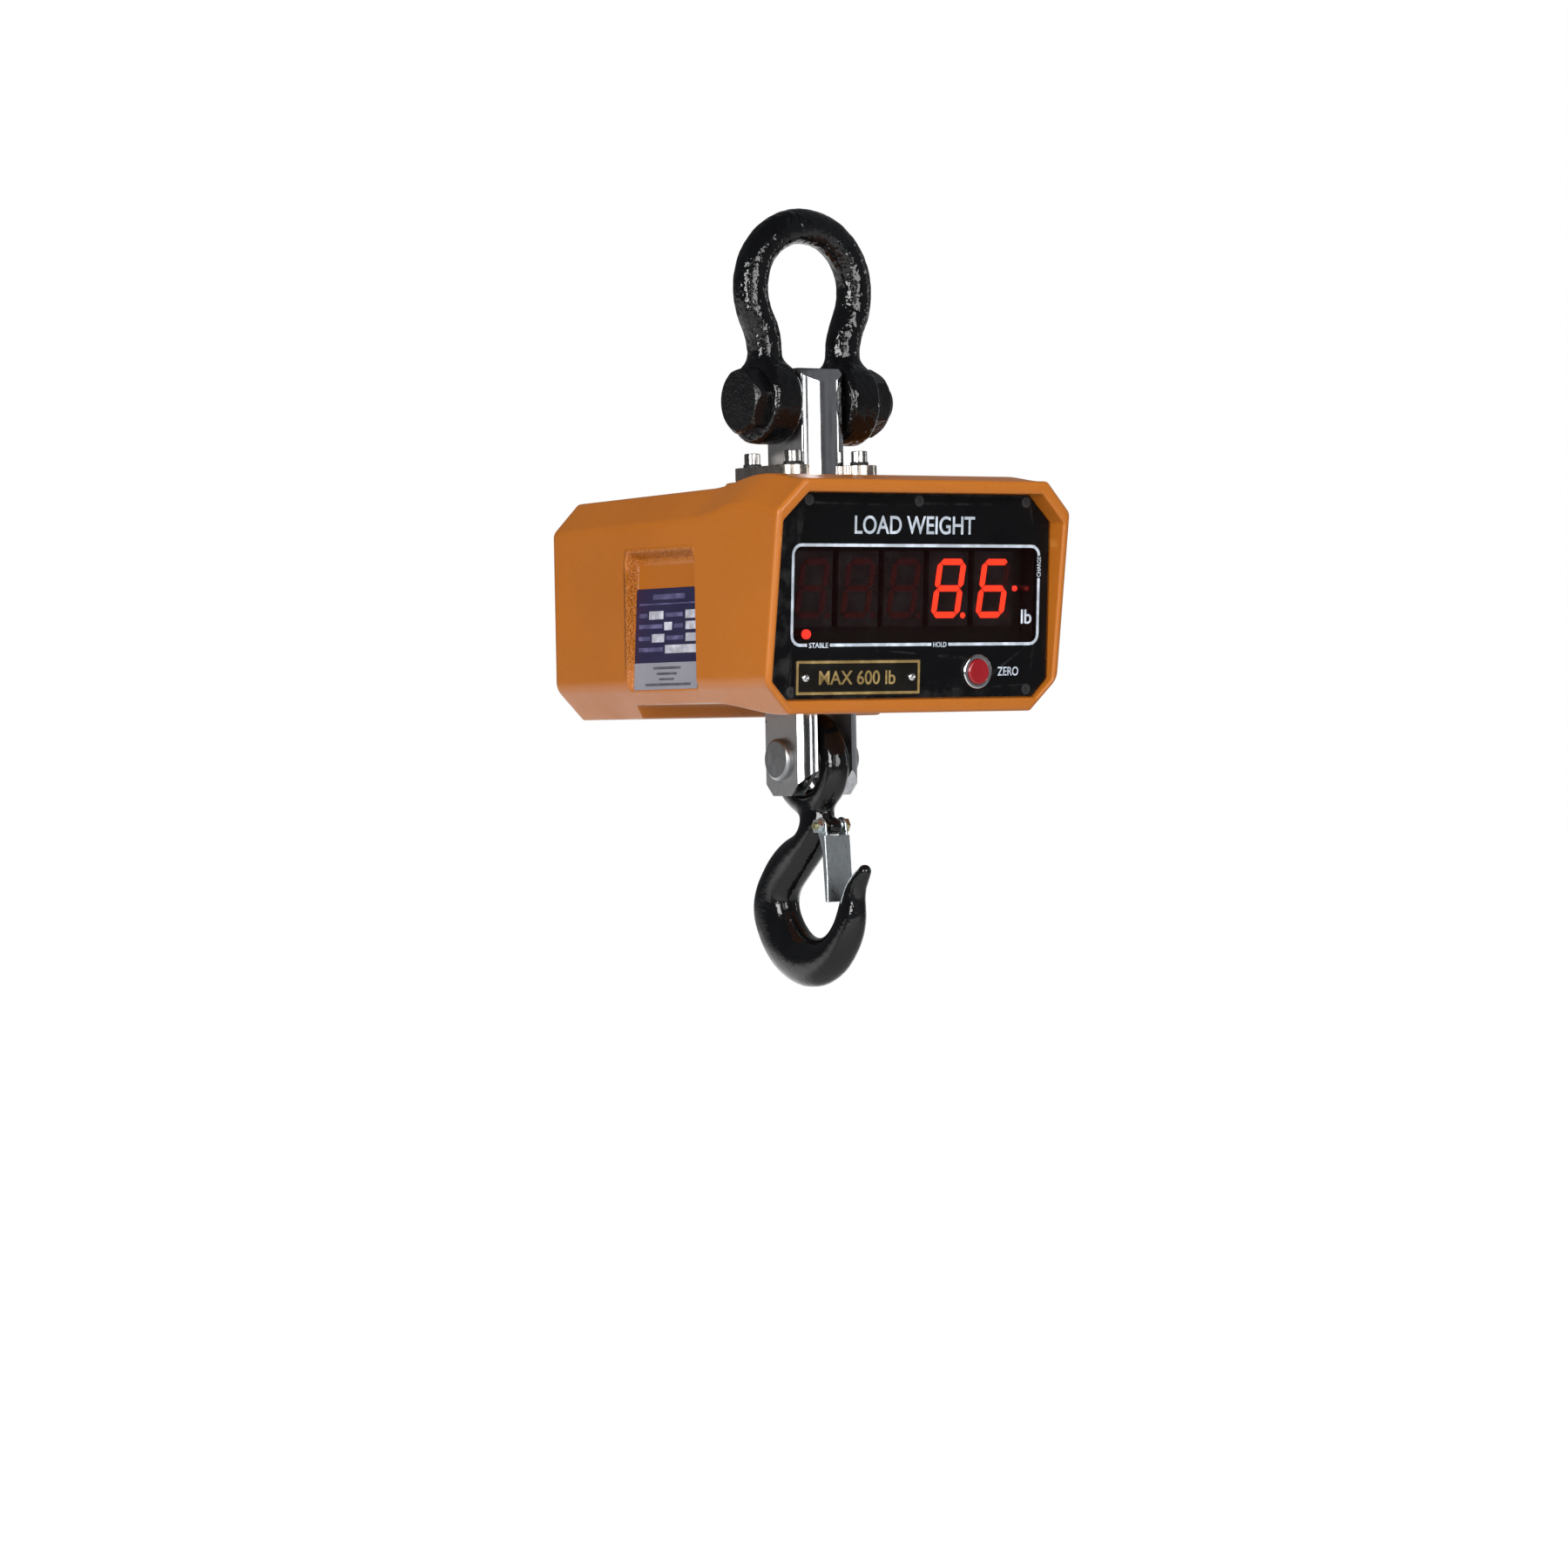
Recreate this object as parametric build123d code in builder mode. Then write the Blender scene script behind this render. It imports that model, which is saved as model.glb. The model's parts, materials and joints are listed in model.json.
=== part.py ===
from build123d import *
import os
from math import atan, cos, degrees, pi, radians, sin, sqrt, tan

os.makedirs("parts", exist_ok=True)

# A hanging crane scale, in millimetres. +Z is up, -Y is the display side, +X is to the right of
# somebody reading the display. The origin is where a crane hook bears, inside the bow's crown.

# ---- Load line: heights of the axes that carry the load ----
bolt_z = -85.0
fork_pin_z = bolt_z - 192.0
latch_bolt_z = bolt_z - 227.8
running_gap = 0.05

# ---- Shackle ----
bow_bar = 19.0
bow_radius = 34.0
bow_centre_z = bow_bar / 2 - bow_radius
leg_x = 25.5
leg_straight = 25.0
ear_radius = 23.3
ear_inner_x = 16.0
ear_outer_x = 35.0
bolt_diameter = 22.0
bolt_head_flats = 33.0
bolt_head_turn = 51.0
bolt_head_height = 8.5
shackle_nut_flats = 33.0
shackle_nut_height = 11.5
bolt_end_x = 52.0
roll_pin_x = 49.0
roll_pin_diameter = 3.0

# ---- Lifting lug and flange plate ----
lug_diameter = 42.0
lug_flats = 27.0
lug_top_z = bolt_z + 17.3
lug_bottom_z = bolt_z - 60.0
lug_chamfer = 7.7
groove_depth = 1.5
plate_top_z = bolt_z - 35.0
plate_thickness = 6.7
plate_screw_x = 22.0
plate_screw_y = 18.7
plate_lobe_radius = 9.3
gasket_thickness = 1.0
plate_bottom_z = plate_top_z - plate_thickness
boss_top_z = plate_bottom_z - gasket_thickness
cap_screw_diameter = 8.6
cap_screw_height = 5.8
washer_diameter = 9.8
washer_height = 2.0

# ---- Housing ----
housing_half_width = 95.0
housing_chamfer = 16.5
housing_wall = 4.0
housing_front_y = -116.0
housing_rear_y = 106.0
front_top_z = bolt_z - 47.2
hump_top_z = bolt_z - 43.0
waist_top_z = bolt_z - 48.6
rear_top_z = bolt_z - 50.8
hump_y = -72.0
waist_y = -24.0
front_bottom_z = bolt_z - 168.4
arch_z = bolt_z - 161.5
rear_bottom_z = bolt_z - 168.8
arch_start_y = -86.0
arch_front_y = -31.0
arch_rear_y = 39.0
arch_step = 7.0
boss_half_x = 36.0
boss_half_y = 32.0
pocket_centre_y = 1.5
pocket_half_length = 32.5
pocket_top_depth = 7.0
pocket_bottom_depth = 2.5
pocket_top_z = bolt_z - 80.0
pocket_pad_z = bolt_z - 154.5
pocket_corner = 4.0
pocket_draft = 15.0

# ---- Bezel, recess and front panel ----
lip_tilt = 8.8
lip_centre_y = -102.3
lip_centre_z = bolt_z - 108.0
opening_width = 181.6
opening_height = 108.0
opening_top_chamfer = 15.0
opening_bottom_chamfer = 10.0
panel_tilt = 3.8
panel_centre_y = -94.2
panel_centre_z = bolt_z - 107.3
panel_width = 178.6
panel_height = 106.6
panel_top_chamfer = 14.0
panel_bottom_chamfer = 9.2
panel_thickness = 2.5
ledge_thickness = 4.5
panel_screw_spots = [(-67.0, 49.6), (3.5, 49.6), (74.0, 49.6), (-76.5, -49.8), (76.5, -49.8)]

# ---- Display ----
window_width = 157.0
window_height = 50.0
window_centre = (3.0, 0.4)
window_flange = 4.0
window_plate = 2.0
digit_pitch = 29.4
first_digit_u = -59.8
digit_v = 3.7
digit_width = 25.6
digit_height = 40.0
digit_front_w = -6.5
digit_depth = 8.0
board_thickness = 1.6
display_board_width = 168.0
display_board_height = 66.0
main_board_w = -34.0
main_board_width = 120.0
main_board_height = 70.0

# ---- Capacity plate and zero button ----
plaque_centre = (-34.3, -42.4)
plaque_width = 81.0
plaque_height = 19.4
plaque_thickness = 0.8
plaque_screw_pitch = 68.2
button_centre = (43.0, -40.0)
button_bezel_diameter = 18.4
button_bezel_height = 1.9
button_bore = 13.9
button_thread = 16.0
button_cap_diameter = 13.5
button_cap_height = 3.0
button_body_depth = 13.0

# ---- Load cell and fork ----
cell_width = 28.0
cell_length = 64.0
cell_top_z = bolt_z - 63.0
cell_bottom_z = bolt_z - 137.0
cell_slot = 5.0
cell_bore = 24.0
fork_diameter = 49.0
fork_flats = 39.0
fork_slot = 22.4
fork_top_z = bolt_z - 140.0
fork_slot_top_z = bolt_z - 152.0
fork_bottom_z = bolt_z - 211.6
fork_chamfer = 16.0
stud_diameter = 18.0
pin_diameter = 20.0
pin_head_diameter = 22.6
pin_head_height = 4.2
pin_tail = 5.5
washer_thickness = 1.6
floor_hole = 56.0

# ---- Hook and latch ----
eye_bar_radius = 8.0
eye_bore_radius = 13.0
eye_centre_z = fork_pin_z - (eye_bore_radius - pin_diameter / 2) + running_gap
latch_bolt_y = -17.4
latch_bolt_diameter = 4.0
latch_boss_half = 4.0
latch_boss_radius = 5.2
latch_ear_x = 6.0
latch_sheet = 1.2
latch_ear_radius = 4.5
latch_tip_z = bolt_z - 268.5
latch_web_top_z = bolt_z - 233.0
latch_web_y = -22.6
latch_lean = 4.0
latch_top_half = 7.2
latch_bottom_half = 8.8

# ---- Rear side and battery ----
cover_width = 181.0
cover_height = 107.0
cover_thickness = 2.5
cover_chamfer = 13.5
cover_inset = 1.0
rear_gasket_thickness = 1.0
cover_centre_z = (rear_top_z + rear_bottom_z) / 2
cover_screw_spots = [(su * 78.0, sv * 43.0) for su in (-1, 1) for sv in (-1, 1)]
cover_screw_spots += [(-86.0, 0.0), (86.0, 0.0)]
battery_size = (70.0, 46.0, 96.0)
battery_y = 71.0
socket_spot = (-52.0, -28.0)
rocker_spot = (-52.0, 12.0)
rocker_tip = 9.0


# ---- Planes and profiles that several pieces share ----
def tilted_plane(y, z, tilt):
    """Plane facing the reader, its top leaning forward; local x is +X and local y runs up."""
    facing = (0, -cos(radians(tilt)), -sin(radians(tilt)))
    return Plane(origin=(0, y, z), x_dir=(1, 0, 0), z_dir=facing)


lip_plane = tilted_plane(lip_centre_y, lip_centre_z, lip_tilt)
panel_plane = tilted_plane(panel_centre_y, panel_centre_z, panel_tilt)
rear_plane = Plane(origin=(0, housing_rear_y, cover_centre_z), x_dir=(-1, 0, 0), z_dir=(0, 1, 0))


def across(x, y, z):
    """Plane facing +X at a point; local x is +Y and local y is +Z."""
    return Plane(origin=(x, y, z), x_dir=(0, 1, 0), z_dir=(1, 0, 0))


def octagon(plane, width, height, top_chamfer, bottom_chamfer, v=0.0):
    """Rectangle with its four corners cut at 45 degrees, centred at height v on the plane."""
    w = width / 2
    h = height / 2
    with BuildSketch(plane) as face:
        with BuildLine():
            Polyline(
                (w, v - h + bottom_chamfer), (w, v + h - top_chamfer),
                (w - top_chamfer, v + h), (top_chamfer - w, v + h),
                (-w, v + h - top_chamfer), (-w, v - h + bottom_chamfer),
                (bottom_chamfer - w, v - h), (w - bottom_chamfer, v - h), close=True,
            )
        make_face()
    return face.sketch


def disc(plane, diameter):
    """Round face on a plane."""
    with BuildSketch(plane) as face:
        Circle(diameter / 2)
    return face.sketch


def discs(plane, diameter, spots):
    """Several round faces on a plane."""
    with BuildSketch(plane) as face:
        with Locations(*spots):
            Circle(diameter / 2)
    return face.sketch


def hexagon(plane, across_flats, turn=0.0):
    """Hexagonal face on a plane."""
    with BuildSketch(plane) as face:
        RegularPolygon(across_flats / 2, 6, major_radius=False, rotation=turn)
    return face.sketch


def block(plane, width, height, centre=(0.0, 0.0), corner=0.0):
    """Rectangular face on a plane, with rounded corners if asked."""
    with BuildSketch(plane) as face:
        with Locations(centre):
            if corner:
                RectangleRounded(width, height, corner)
            else:
                Rectangle(width, height)
    return face.sketch


def flatted_disc(plane, diameter, flats):
    """Round face with two flats, square to the plane's local x."""
    with BuildSketch(plane) as face:
        Circle(diameter / 2)
        Rectangle(flats, diameter, mode=Mode.INTERSECT)
    return face.sketch


# ---- Shackle: bow, bolt, nut and roll pin ----
flare_base_z = bolt_z + leg_straight
flare_rise = bow_centre_z - flare_base_z
flare_angle = 2 * degrees(atan((bow_radius - leg_x) / flare_rise))
flare_radius = flare_rise / (2 * sin(radians(flare_angle)))

with BuildPart() as shackle_bow:
    with BuildLine(Plane.XZ) as bow_line:
        Line((leg_x, bolt_z), (leg_x, flare_base_z))
        outward = JernArc((leg_x, flare_base_z), (0, 1), flare_radius, -flare_angle)
        upright = JernArc(outward @ 1, outward % 1, flare_radius, flare_angle)
        crown = CenterArc((0, bow_centre_z), bow_radius, 0, 180)
        inward = JernArc(crown @ 1, (0, -1), flare_radius, flare_angle)
        downward = JernArc(inward @ 1, inward % 1, flare_radius, -flare_angle)
        Line(downward @ 1, (-leg_x, bolt_z))
    with BuildSketch(Plane(origin=(leg_x, 0, bolt_z), z_dir=(0, 0, 1))):
        Circle(bow_bar / 2)
    sweep(path=bow_line.wires()[0])
    with BuildSketch(Plane.XZ) as ear_profile:
        for side in (-1, 1):
            with Locations((side * (ear_inner_x + ear_outer_x) / 2, bolt_z + ear_radius / 2)):
                Rectangle(ear_outer_x - ear_inner_x, ear_radius)
        fillet(ear_profile.vertices().group_by(Axis.Y)[-1], 3.0)
    revolve(axis=Axis((0, 0, bolt_z), (1, 0, 0)))
    extrude(disc(across(0, 0, bolt_z), bolt_diameter), amount=60, both=True, mode=Mode.SUBTRACT)
shackle_bow.part.label = "shackle_bow"
export_step(shackle_bow.part, "parts/shackle_bow.step")

with BuildPart() as shackle_bolt:
    extrude(disc(across(-ear_outer_x, 0, bolt_z), bolt_diameter), amount=ear_outer_x + bolt_end_x)
    chamfer(shackle_bolt.edges().filter_by(GeomType.CIRCLE).sort_by(Axis.X)[-1], 1.5)
    extrude(hexagon(across(-ear_outer_x, 0, bolt_z), bolt_head_flats, bolt_head_turn),
            amount=-bolt_head_height)
    head_corner_trim = disc(across(-ear_outer_x, 0, bolt_z), bolt_head_flats * 1.11)
    with BuildPart(mode=Mode.INTERSECT):
        extrude(head_corner_trim, amount=-bolt_head_height)
        chamfer(edges().filter_by(GeomType.CIRCLE).sort_by(Axis.X)[0], 2.2)
        extrude(disc(across(-ear_outer_x, 0, bolt_z), 60), amount=100)
    extrude(
        disc(Plane(origin=(roll_pin_x, 0, bolt_z), z_dir=(0, 0, 1)), roll_pin_diameter),
        amount=30, both=True, mode=Mode.SUBTRACT,
    )
shackle_bolt.part.label = "shackle_bolt"
export_step(shackle_bolt.part, "parts/shackle_bolt.step")

with BuildPart() as shackle_nut:
    extrude(hexagon(across(ear_outer_x, 0, bolt_z), shackle_nut_flats, 30), amount=shackle_nut_height)
    with BuildPart(mode=Mode.INTERSECT):
        extrude(disc(across(ear_outer_x, 0, bolt_z), shackle_nut_flats * 1.12), amount=shackle_nut_height)
        chamfer(edges().filter_by(GeomType.CIRCLE).sort_by(Axis.X)[-1], 3.0)
    extrude(disc(across(0, 0, bolt_z), bolt_diameter), amount=80, mode=Mode.SUBTRACT)
shackle_nut.part.label = "shackle_nut"
export_step(shackle_nut.part, "parts/shackle_nut.step")

# A slit tube, driven in flush through the bolt's end, keeps the nut on.
roll_pin_half = bolt_diameter / 2 - 0.3
with BuildPart() as roll_pin:
    with BuildSketch(Plane(origin=(roll_pin_x, 0, bolt_z - roll_pin_half), z_dir=(0, 0, 1))):
        Circle(roll_pin_diameter / 2)
        Circle(roll_pin_diameter / 2 - 0.6, mode=Mode.SUBTRACT)
        with Locations((0, roll_pin_diameter / 2)):
            Rectangle(0.5, roll_pin_diameter / 2, mode=Mode.SUBTRACT)
    extrude(amount=2 * roll_pin_half)
roll_pin.part.label = "roll_pin"
export_step(roll_pin.part, "parts/roll_pin.step")

# ---- Lifting lug, flange plate and its fasteners ----
plate_screw_spots = [(sx * plate_screw_x, sy * plate_screw_y) for sx in (-1, 1) for sy in (-1, 1)]

with BuildPart() as lifting_lug:
    extrude(
        flatted_disc(Plane.XY.offset(lug_bottom_z), lug_diameter, lug_flats),
        amount=lug_top_z - lug_bottom_z,
    )
    for side in (-1, 1):
        with BuildSketch(Plane.YZ.offset(-lug_flats)):
            with BuildLine():
                Polyline(
                    (side * lug_diameter / 2, lug_top_z - lug_chamfer),
                    (side * (lug_diameter / 2 - lug_chamfer), lug_top_z),
                    (side * (lug_diameter / 2 + 1), lug_top_z + 1), close=True,
                )
            make_face()
        extrude(amount=2 * lug_flats, mode=Mode.SUBTRACT)
    extrude(
        disc(across(0, 0, bolt_z), bolt_diameter + 2 * running_gap),
        amount=lug_flats, both=True, mode=Mode.SUBTRACT,
    )
    for side in (-1, 1):
        groove = block(across(side * (lug_flats / 2 - groove_depth), 0, plate_bottom_z),
                       lug_diameter, plate_thickness, (0, plate_thickness / 2))
        extrude(groove, amount=side * 3, mode=Mode.SUBTRACT)
    extrude(disc(Plane.XY.offset(lug_bottom_z), stud_diameter), amount=-15)
lifting_lug.part.label = "lifting_lug"
export_step(lifting_lug.part, "parts/lifting_lug.step")

# The flange is split in two halves, each keyed into a groove in one flat of the lug.
with BuildPart() as flange_halves:
    extrude(block(Plane.XY.offset(plate_bottom_z), 2 * (plate_screw_x + plate_lobe_radius),
                  2 * plate_screw_y), amount=plate_thickness)
    extrude(discs(Plane.XY.offset(plate_bottom_z), 2 * plate_lobe_radius, plate_screw_spots),
            amount=plate_thickness)
    extrude(block(Plane.XY.offset(plate_bottom_z), lug_flats - 2 * groove_depth,
                  2 * lug_diameter), amount=plate_thickness, mode=Mode.SUBTRACT)
    extrude(discs(Plane.XY.offset(plate_bottom_z), 5.5, plate_screw_spots),
            amount=plate_thickness, mode=Mode.SUBTRACT)
flange_halves.part.label = "flange_halves"
export_step(flange_halves.part, "parts/flange_halves.step")

with BuildPart() as flange_gasket:
    extrude(block(Plane.XY.offset(boss_top_z), 2 * (plate_screw_x + plate_lobe_radius) - 1,
                  2 * (plate_screw_y + plate_lobe_radius) - 1, corner=8.0), amount=gasket_thickness)
    extrude(disc(Plane.XY.offset(boss_top_z), lug_diameter + 1),
            amount=gasket_thickness, mode=Mode.SUBTRACT)
    extrude(discs(Plane.XY.offset(boss_top_z), 5.5, plate_screw_spots),
            amount=gasket_thickness, mode=Mode.SUBTRACT)
flange_gasket.part.label = "flange_gasket"
export_step(flange_gasket.part, "parts/flange_gasket.step")

with BuildPart() as flange_washers:
    extrude(discs(Plane.XY.offset(plate_top_z), washer_diameter, plate_screw_spots),
            amount=washer_height)
    extrude(discs(Plane.XY.offset(plate_top_z), 5.3, plate_screw_spots),
            amount=washer_height, mode=Mode.SUBTRACT)
flange_washers.part.label = "flange_washers"
export_step(flange_washers.part, "parts/flange_washers.step")

screw_seat_z = plate_top_z + washer_height
with BuildPart() as flange_screws:
    extrude(discs(Plane.XY.offset(screw_seat_z), cap_screw_diameter, plate_screw_spots),
            amount=cap_screw_height)
    chamfer(flange_screws.edges().filter_by(GeomType.CIRCLE).group_by(Axis.Z)[-1], 0.4)
    extrude(discs(Plane.XY.offset(screw_seat_z), 5.0, plate_screw_spots), amount=-17)
    with BuildSketch(Plane.XY.offset(screw_seat_z + cap_screw_height)):
        with Locations(*plate_screw_spots):
            RegularPolygon(2.0, 6, major_radius=False)
    extrude(amount=-2.8, mode=Mode.SUBTRACT)
flange_screws.part.label = "flange_screws"
export_step(flange_screws.part, "parts/flange_screws.step")


# ---- Housing: one casting, open at the front for the panel and at the rear for the cover ----
def ease(t):
    """Smooth step from 0 to 1."""
    return (1 - cos(pi * min(max(t, 0.0), 1.0))) / 2


def top_at(y):
    """Height of the casting's top, rising to a hump and falling to a waist."""
    if y < hump_y:
        return front_top_z + (hump_top_z - front_top_z) * ease((y + 111.0) / (hump_y + 111.0))
    if y < waist_y:
        return hump_top_z + (waist_top_z - hump_top_z) * ease((y - hump_y) / (waist_y - hump_y))
    return waist_top_z + (rear_top_z - waist_top_z) * (y - waist_y) / (housing_rear_y - waist_y)


def bottom_at(y):
    """Height of the casting's underside, arched between the front and rear boxes."""
    rise = ease((y - arch_start_y) / (arch_front_y - arch_start_y))
    if y < arch_rear_y:
        return front_bottom_z + (arch_z - front_bottom_z) * rise
    return arch_z + (rear_bottom_z - arch_z) * min((y - arch_rear_y) / arch_step, 1.0)


def pocket_floor(side):
    """Plane of a side pocket's floor, facing out; the pocket is deepest at its top."""
    drop = pocket_top_z - pocket_pad_z
    lean = (pocket_top_depth - pocket_bottom_depth) / drop
    middle_x = side * (housing_half_width - (pocket_top_depth + pocket_bottom_depth) / 2)
    middle_z = (pocket_top_z + pocket_pad_z) / 2
    return Plane(origin=(middle_x, pocket_centre_y, middle_z), x_dir=(0, side, 0),
                 z_dir=(side, 0, lean))


housing_stations = [housing_front_y, -104.0, -95.0, arch_start_y, -79.0, hump_y, -64.0, -56.0,
                    -48.0, -40.0, arch_front_y, waist_y, arch_rear_y, arch_rear_y + arch_step,
                    housing_rear_y]


def housing_form(wall, start_y, end_y):
    """The casting's form, inset by a wall, between two stations."""
    inner = [y for y in housing_stations if start_y + 1 < y < end_y - 1]
    chamfer_size = housing_chamfer - wall * (2 - sqrt(2))
    with BuildPart() as form:
        for y in [start_y] + inner + [end_y]:
            top = top_at(y) - wall
            bottom = bottom_at(y) + wall
            station = Plane(origin=(0, y, (top + bottom) / 2), x_dir=(1, 0, 0), z_dir=(0, -1, 0))
            # The arch cuts the lower chamfer short, so that its slope runs on unbroken.
            lower_chamfer = chamfer_size - (bottom_at(y) - front_bottom_z)
            add(octagon(station, 2 * (housing_half_width - wall), top - bottom,
                        chamfer_size, lower_chamfer))
        loft(ruled=True)
    return form.part


cavity_front_y = -86.0
cavity_rear_y = housing_rear_y - cover_inset - cover_thickness - rear_gasket_thickness - 4.0

with BuildPart() as housing:
    add(housing_form(0.0, housing_front_y, housing_rear_y))
    split(bisect_by=lip_plane, keep=Keep.BOTTOM)
    extrude(block(Plane.XY.offset(boss_top_z), 2 * boss_half_x, 2 * boss_half_y, corner=11.0),
            amount=-8)
    add(housing_form(housing_wall, cavity_front_y, cavity_rear_y), mode=Mode.SUBTRACT)
    # Thicker wall behind each side pocket, then the pockets, open at the bottom chamfer.
    for side in (-1, 1):
        backing_x = side * (housing_half_width - pocket_top_depth - housing_wall)
        backing_top_z = pocket_top_z + 5.0
        backing = block(across(backing_x, pocket_centre_y, (backing_top_z + pocket_pad_z) / 2),
                        2 * pocket_half_length + 10, backing_top_z - pocket_pad_z)
        extrude(backing, amount=side * 7.5)
        floor_rim = pocket_top_depth * tan(radians(pocket_draft))
        pocket_height = pocket_top_z - pocket_pad_z + 40.0
        pocket = block(pocket_floor(side), 2 * (pocket_half_length - floor_rim), pocket_height,
                       (0, (pocket_top_z - pocket_pad_z) / 2 - floor_rim - pocket_height / 2),
                       corner=pocket_corner)
        extrude(pocket, amount=20, taper=-pocket_draft, mode=Mode.SUBTRACT)
    # Front recess with its ledge, and the rear recess with its ledge.
    extrude(octagon(panel_plane.offset(-panel_thickness), opening_width, opening_height,
                    opening_top_chamfer, opening_bottom_chamfer), amount=40, mode=Mode.SUBTRACT)
    extrude(octagon(panel_plane.offset(-20), 170, 90, 12, 8), amount=40, mode=Mode.SUBTRACT)
    extrude(discs(panel_plane.offset(-20), 24.0, [button_centre]), amount=40, mode=Mode.SUBTRACT)
    recess_depth = cover_inset + cover_thickness + rear_gasket_thickness
    extrude(octagon(rear_plane.offset(-recess_depth), cover_width + 1, cover_height + 1,
                    cover_chamfer, cover_chamfer), amount=10, mode=Mode.SUBTRACT)
    extrude(octagon(rear_plane.offset(-15), 164, 101, 22, 22), amount=20, mode=Mode.SUBTRACT)
    # Openings for the load train, and screw holes.
    extrude(disc(Plane.XY.offset(boss_top_z - 12), lug_diameter + 2), amount=20, mode=Mode.SUBTRACT)
    extrude(disc(Plane.XY.offset(arch_z - 6), floor_hole), amount=20, mode=Mode.SUBTRACT)
    extrude(discs(Plane.XY.offset(boss_top_z), 5.0, plate_screw_spots), amount=-14, mode=Mode.SUBTRACT)
    extrude(discs(panel_plane, 3.0, panel_screw_spots), amount=-10, mode=Mode.SUBTRACT)
    extrude(discs(rear_plane, 4.0, cover_screw_spots), amount=-12, mode=Mode.SUBTRACT)
housing.part.label = "housing"
export_step(housing.part, "parts/housing.step")

# ---- Front panel, window and screws ----
with BuildPart() as front_panel:
    extrude(octagon(panel_plane, panel_width, panel_height, panel_top_chamfer, panel_bottom_chamfer),
            amount=-panel_thickness)
    extrude(block(panel_plane, window_width, window_height, window_centre, corner=3.0),
            amount=-panel_thickness, mode=Mode.SUBTRACT)
    extrude(discs(panel_plane, button_thread, [button_centre]),
            amount=-panel_thickness, mode=Mode.SUBTRACT)
    extrude(discs(panel_plane, 3.0, panel_screw_spots), amount=-panel_thickness, mode=Mode.SUBTRACT)
    extrude(discs(panel_plane, 6.0, panel_screw_spots), amount=-1.2, mode=Mode.SUBTRACT)
front_panel.part.label = "front_panel"
export_step(front_panel.part, "parts/front_panel.step")

with BuildPart() as display_window:
    extrude(block(panel_plane.offset(-0.2), window_width, window_height, window_centre, corner=3.0),
            amount=-(panel_thickness - 0.2))
    extrude(block(panel_plane.offset(-panel_thickness), window_width + window_flange,
                  window_height + window_flange, window_centre), amount=-window_plate)
display_window.part.label = "display_window"
export_step(display_window.part, "parts/display_window.step")

with BuildPart() as panel_screws:
    extrude(discs(panel_plane.offset(-0.05), 6.0, panel_screw_spots), amount=-1.15)
    extrude(discs(panel_plane.offset(-0.05), 3.0, panel_screw_spots), amount=-7.5)
    extrude(discs(panel_plane, 1.8, panel_screw_spots), amount=-0.8, mode=Mode.SUBTRACT)
panel_screws.part.label = "panel_screws"
export_step(panel_screws.part, "parts/panel_screws.step")

# ---- LED digits, boards and spacers behind the window ----
digit_spots = [(first_digit_u + n * digit_pitch, digit_v) for n in range(5)]
for number, spot in enumerate(digit_spots, start=1):
    with BuildPart() as led_digit:
        extrude(block(panel_plane.offset(digit_front_w), digit_width, digit_height, spot),
                amount=-digit_depth)
        chamfer(led_digit.edges().filter_by(Axis.X).group_by(Axis.Y)[0], 0.5)
    led_digit.part.label = f"led_digit_{number}"
    export_step(led_digit.part, f"parts/led_digit_{number}.step")

board_w = digit_front_w - digit_depth
lamp_front_w = digit_front_w + 0.8
stable_lamp_spot = (-62.9, -20.1)
unit_lamp_spots = [(72.6, 3.7), (80.8, 3.7)]
short_spacer_spots = [(su * 78.0, sv * 30.3) for su in (-1, 1) for sv in (-1, 1)]
long_spacer_spots = [(su * 54.0, sv * 29.0) for su in (-1, 1) for sv in (-1, 1)]

with BuildPart() as status_lamps:
    extrude(discs(panel_plane.offset(lamp_front_w), 5.0, [stable_lamp_spot]),
            amount=board_w - lamp_front_w)
    extrude(discs(panel_plane.offset(lamp_front_w), 3.0, unit_lamp_spots),
            amount=board_w - lamp_front_w)
    fillet(status_lamps.edges().filter_by(GeomType.CIRCLE).group_by(Axis.Y)[0], 1.0)
status_lamps.part.label = "status_lamps"
export_step(status_lamps.part, "parts/status_lamps.step")

with BuildPart() as display_board:
    extrude(block(panel_plane.offset(board_w), display_board_width, display_board_height),
            amount=-board_thickness)
display_board.part.label = "display_board"
export_step(display_board.part, "parts/display_board.step")

with BuildPart() as board_spacers:
    extrude(discs(panel_plane.offset(-panel_thickness), 5.0, short_spacer_spots),
            amount=board_w + panel_thickness)
    extrude(discs(panel_plane.offset(board_w - board_thickness), 5.0, long_spacer_spots),
            amount=main_board_w - board_w + board_thickness)
board_spacers.part.label = "board_spacers"
export_step(board_spacers.part, "parts/board_spacers.step")

with BuildPart() as main_board:
    extrude(block(panel_plane.offset(main_board_w), main_board_width, main_board_height),
            amount=-board_thickness)
    back_w = main_board_w - board_thickness
    extrude(block(panel_plane.offset(back_w), 14, 14, (-10, 8)), amount=-2.2)
    extrude(block(panel_plane.offset(back_w), 10, 7, (18, 16)), amount=-1.8)
    extrude(block(panel_plane.offset(back_w), 20, 6, (-38, -28)), amount=-8.0)
    extrude(block(panel_plane.offset(back_w), 12, 6, (34, -28)), amount=-8.0)
    extrude(discs(panel_plane.offset(back_w), 8.0, [(40, 10), (40, -6)]), amount=-9.0)
main_board.part.label = "main_board"
export_step(main_board.part, "parts/main_board.step")

# ---- Capacity plaque and zero button ----
plaque_u, plaque_v = plaque_centre
plaque_screw_spots = [(plaque_u + side * plaque_screw_pitch / 2, plaque_v) for side in (-1, 1)]

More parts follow.
